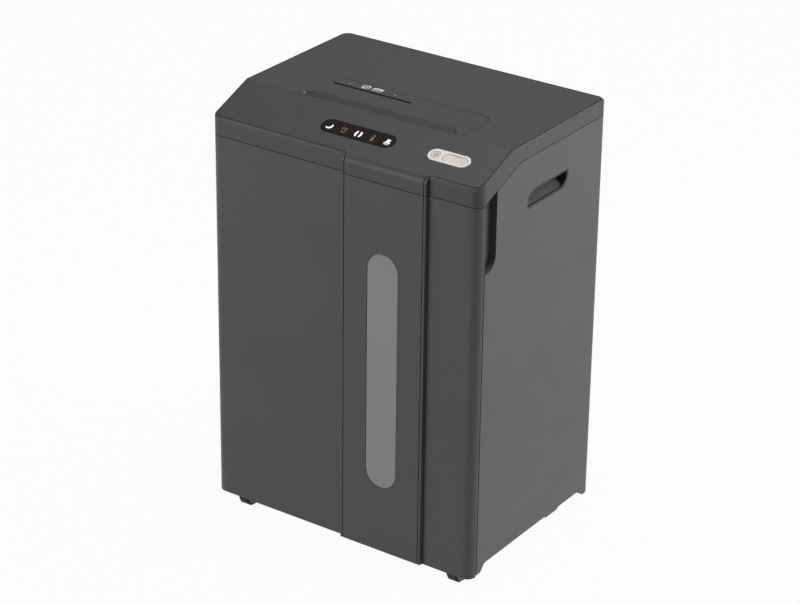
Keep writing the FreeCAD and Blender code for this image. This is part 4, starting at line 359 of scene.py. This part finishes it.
def screen_print(name, rgb, glow=0.0, wear=0.1):
    """Screen-printed ink: flat and even, with pinholes from the mesh; a lit sign also glows."""
    material, tree, shader, where = new_material(name)
    mesh_marks = add_node(tree, "ShaderNodeTexNoise", {"Vector": where, "Scale": 1600.0, "Detail": 1.0}).outputs["Fac"]
    ink = set_colour(tree, mesh_marks, shade(rgb, 1 - wear), shade(rgb, 1.0))
    tree.links.new(ink, shader.inputs["Base Color"])
    tree.links.new(set_range(tree, mesh_marks, 0.45, 0.6), shader.inputs["Roughness"])
    if glow:
        tree.links.new(ink, shader.inputs["Emission Color"])
        shader.inputs["Emission Strength"].default_value = glow
    return material


def dress(names, material):
    """Give CAD nodes one material."""
    for name in names:
        mesh = NODES[name].data
        mesh.materials.clear()
        mesh.materials.append(material)


# ---------------------------------------------------------------- flat signs

def node_points(name):
    """The vertices of a CAD node, as an array."""
    mesh = NODES[name].data
    points = np.empty(len(mesh.vertices) * 3)
    mesh.vertices.foreach_get("co", points)
    return points.reshape(-1, 3)


def slope_axes():
    """The slope's uphill direction and its outward normal."""
    angle = math.atan2(sizes().slope_drop, sizes().slope_run)
    uphill = np.array([0.0, math.cos(angle), math.sin(angle)])
    normal = np.array([0.0, -math.sin(angle), math.cos(angle)])
    return uphill, normal


def face_on_slope(name, lift=0.0):
    """A placing function for a node's top face on the slope: (x, y, height) from the face's middle."""
    uphill, normal = slope_axes()
    points = node_points(name)
    along, out = points @ uphill, points @ normal
    top = points[out > out.max() - 0.2 * MM]
    middle_x = (top[:, 0].min() + top[:, 0].max()) / 2
    top_along = top @ uphill
    middle = np.array([middle_x, 0, 0]) + uphill * (top_along.min() + top_along.max()) / 2 + normal * (out.max() + lift)

    def place(x, y):
        x, y = np.asarray(x, float), np.asarray(y, float)
        return middle + x[..., None] * np.array([1.0, 0, 0]) + y[..., None] * uphill
    return place


def face_on_top(name, lift=0.0):
    """A placing function for a node's level top face, in the row frame's own x and y."""
    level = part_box(name)[1][2] + lift

    def place(x, y):
        x, y = np.asarray(x, float), np.asarray(y, float)
        return np.stack([x, y, np.full(np.broadcast(x, y).shape, level)], axis=-1)
    return place


def grid_faces(rows, columns, offset):
    """The quads of a grid, as corner numbers; they face towards row direction x column direction."""
    index = np.arange(rows * columns).reshape(rows, columns) + offset
    return np.stack([index[:-1, :-1], index[:-1, 1:], index[1:, 1:], index[1:, :-1]], axis=-1).reshape(-1, 4)


def add_film(name, patches, place, material, body):
    """Make one object from patches, each two plane curves of equal length.

    A patch is the ruled surface between its curves: a point is (1 - v) * inner(u) + v * outer(u).
    Quads that face down are turned over, so that every one faces outwards.
    """
    points, faces, offset = [], [], 0
    for inner, outer in patches:
        inner, outer = np.asarray(inner, float), np.asarray(outer, float)
        rows = np.stack([inner, outer])
        quads = grid_faces(2, len(inner), 0)
        corners = rows.reshape(-1, 2)[quads]
        ahead = np.roll(corners, -1, axis=1)
        area = (corners[..., 0] * ahead[..., 1] - corners[..., 1] * ahead[..., 0]).sum(axis=1)
        quads = np.where(area[:, None] < 0, quads[:, ::-1], quads) + offset
        points.append(rows.reshape(-1, 2))
        faces.append(quads)
        offset += rows.shape[1] * 2
    flat = np.concatenate(points)
    mesh = bpy.data.meshes.new(name)
    mesh.from_pydata(place(flat[:, 0], flat[:, 1]).tolist(), [], np.concatenate(faces).tolist())
    mesh.update()
    mesh.materials.append(material)
    film = bpy.data.objects.new(name, mesh)
    bpy.context.scene.collection.objects.link(film)
    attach(film, body)
    return film


def arc(centre, radius, start, end, count=48):
    """Points on a circle from one angle to another, in degrees."""
    turn = np.radians(np.linspace(start, end, count))
    return np.stack([centre[0] + radius * np.cos(turn), centre[1] + radius * np.sin(turn)], axis=-1)


def along(points, count=40):
    """A polyline resampled evenly by length."""
    points = np.asarray(points, float)
    steps = np.concatenate([[0], np.cumsum(np.linalg.norm(np.diff(points, axis=0), axis=1))])
    at = np.linspace(0, steps[-1], count)
    return np.stack([np.interp(at, steps, points[:, k]) for k in (0, 1)], axis=-1)


def stroke(points, width, closed=False):
    """The two edges of a line of constant width: each point moved half the width to either side.

    At a corner the shift is lengthened by one over the cosine of half the turn, so that the
    line keeps its width.
    """
    points = np.asarray(points, float)
    if closed:
        before, after = points - np.roll(points, 1, axis=0), np.roll(points, -1, axis=0) - points
    else:
        step = np.diff(points, axis=0)
        before, after = np.vstack([step[:1], step]), np.vstack([step, step[-1:]])
    before = before / np.linalg.norm(before, axis=1, keepdims=True)
    after = after / np.linalg.norm(after, axis=1, keepdims=True)
    middle = before + after
    middle /= np.linalg.norm(middle, axis=1, keepdims=True)
    stretch = 1 / np.clip((middle * before).sum(axis=1), 0.5, 1)
    side = np.stack([-middle[:, 1], middle[:, 0]], axis=-1) * (stretch * width / 2)[:, None]
    inner, outer = points - side, points + side
    if closed:
        inner, outer = np.vstack([inner, inner[:1]]), np.vstack([outer, outer[:1]])
    return inner, outer


def disc(centre, radius, count=40):
    """A filled circle: the inner curve shrinks to the middle."""
    rim = arc(centre, radius, 0, 360, count)
    return np.repeat([np.asarray(centre, float)], count, axis=0) + (rim - centre) * 0.02, rim


def pill(half_length, radius, count=24):
    """The outline of a pill lying along x: two half circles joined by straight sides."""
    right = arc((half_length - radius, 0), radius, -90, 90, count)
    left = arc((-half_length + radius, 0), radius, 90, 270, count)
    return np.vstack([right, left])


def moved(patches, x, y, scale=1.0):
    return [tuple(np.asarray(curve) * scale + np.array([x, y]) for curve in patch) for patch in patches]


def crescent_sign():
    """A waning moon, one unit tall: the space between a large arc and a flatter one."""
    outer = arc((-0.05, 0.05), 0.48, -150, 40)
    inner = arc((-0.2, 0.22), 0.42, -130, 20)
    return [(inner, outer)]


def bin_sign(width):
    """An open waste bin in outline, 0.8 of a unit tall, with its rim."""
    body = [(-0.27, 0.3), (-0.2, -0.38), (0.2, -0.38), (0.27, 0.3)]
    return [stroke(body, width), stroke([(-0.36, 0.32), (0.36, 0.32)], width)]


def curling_sheets_sign():
    """Two upright sheets that curl away from each other, one unit tall: narrow at the head and the foot."""
    patches = []
    for side, x in ((-1, -0.25), (1, 0.25)):
        t = np.linspace(0, 1, 24)
        bow = 0.09 * np.sin(math.pi * t) * side
        half = 0.05 + 0.1 * np.sin(math.pi * np.clip(t * 0.8 + 0.1, 0, 1))
        height = -0.48 + 0.94 * t
        patches.append((np.stack([x + bow - half, height], axis=-1), np.stack([x + bow + half, height], axis=-1)))
    return patches


def thermometer_sign(width):
    """A thermometer in outline with a filled bulb, one unit tall."""
    stem = np.vstack([arc((0, 0.4), 0.1, 0, 180, 12), [(-0.1, -0.2)], arc((0, -0.34), 0.17, 126, 414, 24),
                      [(0.1, -0.2)]])
    return [stroke(stem, width * 0.8, closed=True), disc((0, -0.34), 0.1), stroke([(0, -0.3), (0, 0.1)], width * 0.7)]


def sheet_into_strips_sign():
    """A sheet standing in a feed tray with its lower part cut in strips, one unit tall."""
    sheet = (np.array([(-0.26, -0.05), (-0.2, 0.48)]), np.array([(0.26, -0.05), (0.28, 0.42)]))
    tray = (np.array([(-0.46, -0.22), (0.46, -0.22)]), np.array([(-0.4, -0.1), (0.4, -0.1)]))
    strips = [(np.array([(x, -0.28), (x + 0.1, -0.28)]), np.array([(x - 0.02, -0.48), (x + 0.08, -0.48)]))
              for x in (-0.34, -0.16, 0.02, 0.2)]
    return [sheet, tray] + strips


def disc_sign(radius, width):
    """An optical disc: outer ring, hub ring, and two glints between them."""
    patches = [stroke(arc((0, 0), radius, 0, 352.5, 48), width, closed=True),
               stroke(arc((0, 0), radius * 0.28, 0, 348, 30), width * 0.9, closed=True)]
    for start in (25, 205):
        patches.append((arc((0, 0), radius * 0.45, start, start + 40, 12), arc((0, 0), radius * 0.82, start, start + 40, 12)))
    return patches


def card_sign(width, height, line):
    """A bank card: its outline, a stripe across and a row of marks under it."""
    w, h, r = width / 2, height / 2, height * 0.14
    outline = np.vstack([arc((w - r, h - r), r, 0, 90, 8), arc((-w + r, h - r), r, 90, 180, 8),
                         arc((-w + r, -h + r), r, 180, 270, 8), arc((w - r, -h + r), r, 270, 360, 8)])
    stripe = (np.array([(-w, h * 0.15), (w, h * 0.15)]), np.array([(-w, h * 0.6), (w, h * 0.6)]))
    marks = [(np.array([(x, -h * 0.55), (x + w * 0.3, -h * 0.55)]), np.array([(x, -h * 0.3), (x + w * 0.3, -h * 0.3)]))
             for x in (-w * 0.75, -w * 0.25, w * 0.25)]
    return [stroke(outline, line, closed=True), stripe] + marks


def power_sign(radius, width):
    """A broken ring with an upright bar in its gap."""
    return [stroke(arc((0, 0), radius, 125, 415, 40), width), stroke([(0, radius * 0.25), (0, radius * 1.15)], width)]


# ---------------------------------------------------------------- operators: materials

class SHREDDER_OT_finish_case(bpy.types.Operator):
    """Give the cover, the feed panel, the side and rear panels and the handle cups their moulded plastic, with painted
    light and shade in their greys
    """

    bl_idname = "shredder.finish_case"
    bl_label = "Finish Case"

    def execute(self, context):
        c = colours()
        dress(["top_cover"], moulded_abs("moulded_abs_cover", c.cover))
        dress(["feed_panel"], moulded_abs("moulded_abs_feed_panel", c.feed, roughness=0.42))
        # the side and rear panels' lighter grey is painted light: the same plastic as the cover and the bin front
        dress(["side_panel_left", "side_panel_right", "rear_panel"], moulded_abs("moulded_abs_panels_painted_light", c.side))
        # the handle cups are darkened to paint the shade inside the handle recesses
        dress(["handle_cups"], moulded_abs("moulded_abs_handle_cups_painted_shade", c.cup_painted_shade, roughness=0.5))
        return {"FINISHED"}


class SHREDDER_OT_finish_bin(bpy.types.Operator):
    """Give the bin front, its window, the tub and the screws their materials"""

    bl_idname = "shredder.finish_bin"
    bl_label = "Finish Bin"

    def execute(self, context):
        c = colours()
        # the bin front's grey is the case plastic painted for the light and shade on the front face
        dress(["bin_front"], moulded_abs("moulded_abs_bin_front", c.door))
        dress(["bin_window"], frosted_san("frosted_san_window", c.window))
        dress(["bin_tub"], moulded_abs("moulded_polypropylene_tub", c.tub, roughness=0.5, grain_depth=0.03))
        dress(["bin_screws"], ground_steel("ground_steel_bin_screws", c.steel, stretch=(1.0, 12.0, 1.0)))
        return {"FINISHED"}


class SHREDDER_OT_finish_controls(bpy.types.Operator):
    """Give the status window, its boards and lamps, the button surround and the keys their materials"""

    bl_idname = "shredder.finish_controls"
    bl_label = "Finish Controls"

    def execute(self, context):
        c = colours()
        dress(["status_lens"], smoked_acrylic("smoked_acrylic_status_window", c.lens))
        dress(["button_bezel"], polished_abs("polished_abs_button_surround", c.bezel))
        dress(["power_button", "function_rocker"], polished_abs("polished_abs_keys", c.keys, roughness=0.3))
        dress(["panel_boards", "control_board"], solder_mask("solder_mask_boards", c.board))
        dress(["status_lamps"], clear_epoxy("clear_epoxy_lamps", c.sign_light))
        return {"FINISHED"}


class SHREDDER_OT_finish_mechanism(bpy.types.Operator):
    """Give the cutters, shafts, gears, chassis and guides their materials"""

    bl_idname = "shredder.finish_mechanism"
    bl_label = "Finish Mechanism"

    def execute(self, context):
        c = colours()
        dress(["cutter_discs_front", "cutter_discs_rear"], oiled_cutter_steel("oiled_cutter_steel", c.cutter))
        dress(["cutter_shaft_front", "cutter_shaft_rear", "tie_rods", "gear_studs", "frame_screws", "motor_rotor"],
              ground_steel("ground_steel_shafts", c.steel))
        dress(["sync_gear_front", "sync_gear_rear", "final_gear", "idler_gear_a", "idler_gear_b", "motor_pinion"],
              sintered_metal("sintered_steel_gears", c.gear))
        dress(["shaft_bushes"], sintered_metal("sintered_bronze_bushes", c.bronze, pore_mm=0.5))
        dress(["chassis_plate_left", "chassis_plate_right", "gear_cover", "motor_housing", "motor_saddles"],
              zinc_plated("zinc_plated_sheet", c.zinc))
        dress(["motor_stator"], laminated_steel("laminated_steel_stator", c.gear))
        dress(["feed_chute", "card_chute", "base_tray", "castor_sockets", "bin_rails", "head_tray", "stripper_front",
               "stripper_rear", "bin_sensors", "feed_sensors", "power_inlet", "board_components", "motor_fan"],
              moulded_abs("moulded_nylon_inner", c.chassis_plastic, roughness=0.4, grain_depth=0.03))
        dress(["inlet_pins"], ground_steel("nickel_plated_pins", c.steel, roughness=0.2, stretch=(1.0, 12.0, 1.0)))
        return {"FINISHED"}


class SHREDDER_OT_finish_castors(bpy.types.Operator):
    """Give the castor forks and wheels their materials"""

    bl_idname = "shredder.finish_castors"
    bl_label = "Finish Castors"

    def execute(self, context):
        c = colours()
        places = ("front_left", "front_right", "rear_left", "rear_right")
        dress([f"castor_wheel_{place}" for place in places], moulded_rubber("moulded_rubber_castors", c.rubber))
        dress([f"castor_fork_{place}" for place in places],
              moulded_abs("moulded_nylon_forks", c.fork, roughness=0.45, grain_depth=0.04))
        return {"FINISHED"}


# ---------------------------------------------------------------- operators: signs

class SHREDDER_OT_make_status_signs(bpy.types.Operator):
    """Lay the five status signs on the status window"""

    bl_idname = "shredder.make_status_signs"
    bl_label = "Make Status Signs"

    def execute(self, context):
        s, c = sizes(), colours()
        place = face_on_slope("status_lens", s.film)
        line = s.stroke / s.sign_height
        lit = screen_print("lit_sign_film", c.sign_light, glow=0.35)
        dim = screen_print("unlit_sign_film", c.sign_dim, glow=0.0)
        signs = [("crescent", crescent_sign(), lit), ("waste_bin", bin_sign(line), dim),
                 ("curling_sheets", curling_sheets_sign(), lit), ("thermometer", thermometer_sign(line), dim),
                 ("sheet_into_strips", sheet_into_strips_sign(), lit)]
        for k, (name, patches, ink) in enumerate(signs):
            spot = moved(patches, (k - 2) * s.sign_pitch + s.sign_shift, -s.sign_drop, s.sign_height)
            add_film(f"status_sign_{name}", spot, place, ink, "cabinet")
        return {"FINISHED"}


class SHREDDER_OT_make_slot_signs(bpy.types.Operator):
    """Print the disc and the card behind the card slot, and a dot at each end of it"""

    bl_idname = "shredder.make_slot_signs"
    bl_label = "Make Slot Signs"

    def execute(self, context):
        s, c = sizes(), colours()
        place = face_on_top("feed_panel", s.film)
        ink = screen_print("screen_print_feed_panel", c.sign_print)
        patches = moved(disc_sign(s.disc_radius, 0.8 * MM), s.disc_x, s.sign_y)
        patches += moved(card_sign(s.card_width, s.card_height, 0.8 * MM), s.card_x, s.sign_y)
        patches += moved([disc((s.dot_left, 0), s.dot_radius), disc((s.dot_right, 0), s.dot_radius)], 0.0, s.dot_y)
        add_film("card_slot_signs", patches, place, ink, "cabinet")
        return {"FINISHED"}


class SHREDDER_OT_make_key_signs(bpy.types.Operator):
    """Print the power sign on the round button"""

    bl_idname = "shredder.make_key_signs"
    bl_label = "Make Key Signs"

    def execute(self, context):
        s, c = sizes(), colours()
        ink = screen_print("screen_print_keys", c.sign_grey)
        button = face_on_slope("power_button", -0.28 * MM)
        add_film("power_sign", power_sign(2.6 * MM, 0.9 * MM), button, ink, "power_key")
        return {"FINISHED"}


# ---------------------------------------------------------------- operators: stage

class SHREDDER_OT_set_stage(bpy.types.Operator):
    """Set the pale floor, the soft studio light, the white surroundings and the camera"""

    bl_idname = "shredder.set_stage"
    bl_label = "Set Stage"

    def execute(self, context):
        scene = context.scene
        scene.view_settings.view_transform = "Standard"
        self.set_floor()
        self.set_world(scene)
        self.set_lamps(scene)
        self.set_camera(scene)
        return {"FINISHED"}

    def set_floor(self):
        """A flat square, 12 m across, that takes the shadow; a camera ray sees it nearly white."""
        half = 6.0
        mesh = bpy.data.meshes.new("studio_floor")
        mesh.from_pydata([(-half, -half, 0), (half, -half, 0), (half, half, 0), (-half, half, 0)], [], [(0, 1, 2, 3)])
        floor = bpy.data.objects.new("studio_floor", mesh)
        bpy.context.scene.collection.objects.link(floor)
        material = bpy.data.materials.new("pale_seamless_paper")
        material.use_nodes = True
        tree = material.node_tree
        tree.nodes.clear()
        paper = add_node(tree, "ShaderNodeBsdfDiffuse", {"Color": (0.28, 0.28, 0.28, 1.0)})
        white = add_node(tree, "ShaderNodeEmission", {"Color": (1.0, 1.0, 1.0, 1.0), "Strength": 1.0})
        rays = add_node(tree, "ShaderNodeLightPath")
        seen = add_node(tree, "ShaderNodeMath", {0: rays.outputs["Is Camera Ray"], 1: rays.outputs["Is Glossy Ray"]},
                        operation="MAXIMUM")
        part = add_node(tree, "ShaderNodeMath", {0: seen.outputs[0], 1: 0.96}, operation="MULTIPLY")
        mix = add_node(tree, "ShaderNodeMixShader", {0: part.outputs[0], 1: paper.outputs[0], 2: white.outputs[0]})
        add_node(tree, "ShaderNodeOutputMaterial", {"Surface": mix.outputs[0]})
        mesh.materials.append(material)

    def set_world(self, scene):
        """Even grey light from all round, shown as white to the camera."""
        world = bpy.data.worlds.new("studio_surround")
        scene.world = world
        world.use_nodes = True
        tree = world.node_tree
        tree.nodes.clear()
        fill = add_node(tree, "ShaderNodeBackground", {"Color": (1.0, 1.0, 1.0, 1.0), "Strength": 0.25})
        white = add_node(tree, "ShaderNodeBackground", {"Color": (1.0, 1.0, 1.0, 1.0), "Strength": 1.0})
        rays = add_node(tree, "ShaderNodeLightPath")
        mix = add_node(tree, "ShaderNodeMixShader", {0: rays.outputs["Is Camera Ray"], 1: fill.outputs[0],
                                                     2: white.outputs[0]})
        add_node(tree, "ShaderNodeOutputWorld", {"Surface": mix.outputs[0]})

    def set_lamps(self, scene):
        """Large soft boxes: one overhead, one behind and to the right, and one to the left of the front."""
        for name, place, aim, size, power in (("overhead_box", (0.3, 0.25, 2.6), (0, 0.1, 0.5), 1.4, 32.0),
                                              ("right_box", (2.3, 1.6, 1.3), (0, 0, 0.3), 2.0, 71.0),
                                              ("front_box", (-1.93, -2.3, 1.2), (0, 0, 0.3), 2.2, 42.0)):
            lamp = bpy.data.lights.new(name, "AREA")
            lamp.shape = "SQUARE"
            lamp.size = size
            lamp.energy = power
            holder = bpy.data.objects.new(name, lamp)
            scene.collection.objects.link(holder)
            holder.matrix_world = looking(place, aim)

    def set_camera(self, scene):
        """A long lens, raised and to the right of the front."""
        data = bpy.data.cameras.new("studio_camera")
        data.sensor_width = 36.0
        data.lens = sizes().camera_lens / MM
        data.clip_end = 50.0
        camera = bpy.data.objects.new("studio_camera", data)
        scene.collection.objects.link(camera)
        camera.matrix_world = looking((1.7782, -2.5923, 1.8037), (0.0, -0.0118, 0.3026), roll=math.radians(0.79))
        scene.camera = camera


def looking(place, aim, roll=0.0):
    """A matrix at a place whose -Z points at the aim, turned clockwise about that line by roll."""
    forward = (Vector(aim) - Vector(place)).normalized()
    right = forward.cross(Vector((0, 0, 1))).normalized()
    up = right.cross(forward)
    turned_right = right * math.cos(roll) + up * math.sin(roll)
    turned_up = up * math.cos(roll) - right * math.sin(roll)
    columns = (turned_right, turned_up, -forward)
    matrix = Matrix([[column[row] for column in columns] + [place[row]] for row in range(3)] + [[0, 0, 0, 1]])
    return matrix


# ---------------------------------------------------------------- panel and running

class SHREDDER_PT_sidebar(bpy.types.Panel):
    """Lists the shredder's operators and settings"""

    bl_idname = "SHREDDER_PT_sidebar"
    bl_label = "Paper Shredder"
    bl_space_type = "VIEW_3D"
    bl_region_type = "UI"
    bl_category = "Shredder"

    def draw(self, context):
        for operator in OPERATORS:
            self.layout.operator(operator.bl_idname)
        for group in (context.scene.shredder_colours, context.scene.shredder_sizes):
            box = self.layout.box()
            for name in group.__annotations__:
                box.prop(group, name)


OPERATORS = (
    SHREDDER_OT_finish_case,
    SHREDDER_OT_finish_bin,
    SHREDDER_OT_finish_controls,
    SHREDDER_OT_finish_mechanism,
    SHREDDER_OT_finish_castors,
    SHREDDER_OT_make_status_signs,
    SHREDDER_OT_make_slot_signs,
    SHREDDER_OT_make_key_signs,
    SHREDDER_OT_set_stage,
)
CLASSES = (ShredderColours, ShredderSizes) + OPERATORS + (SHREDDER_PT_sidebar,)


def register():
    for item in CLASSES:
        bpy.utils.register_class(item)
    bpy.types.Scene.shredder_colours = bpy.props.PointerProperty(type=ShredderColours)
    bpy.types.Scene.shredder_sizes = bpy.props.PointerProperty(type=ShredderSizes)


def unregister():
    del bpy.types.Scene.shredder_colours
    del bpy.types.Scene.shredder_sizes
    for item in reversed(CLASSES):
        bpy.utils.unregister_class(item)


def main():
    """Register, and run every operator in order."""
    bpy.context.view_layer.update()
    register()
    for operator in OPERATORS:
        group, action = operator.bl_idname.split(".")
        getattr(getattr(bpy.ops, group), action)()


if __name__ == "__main__":
    main()
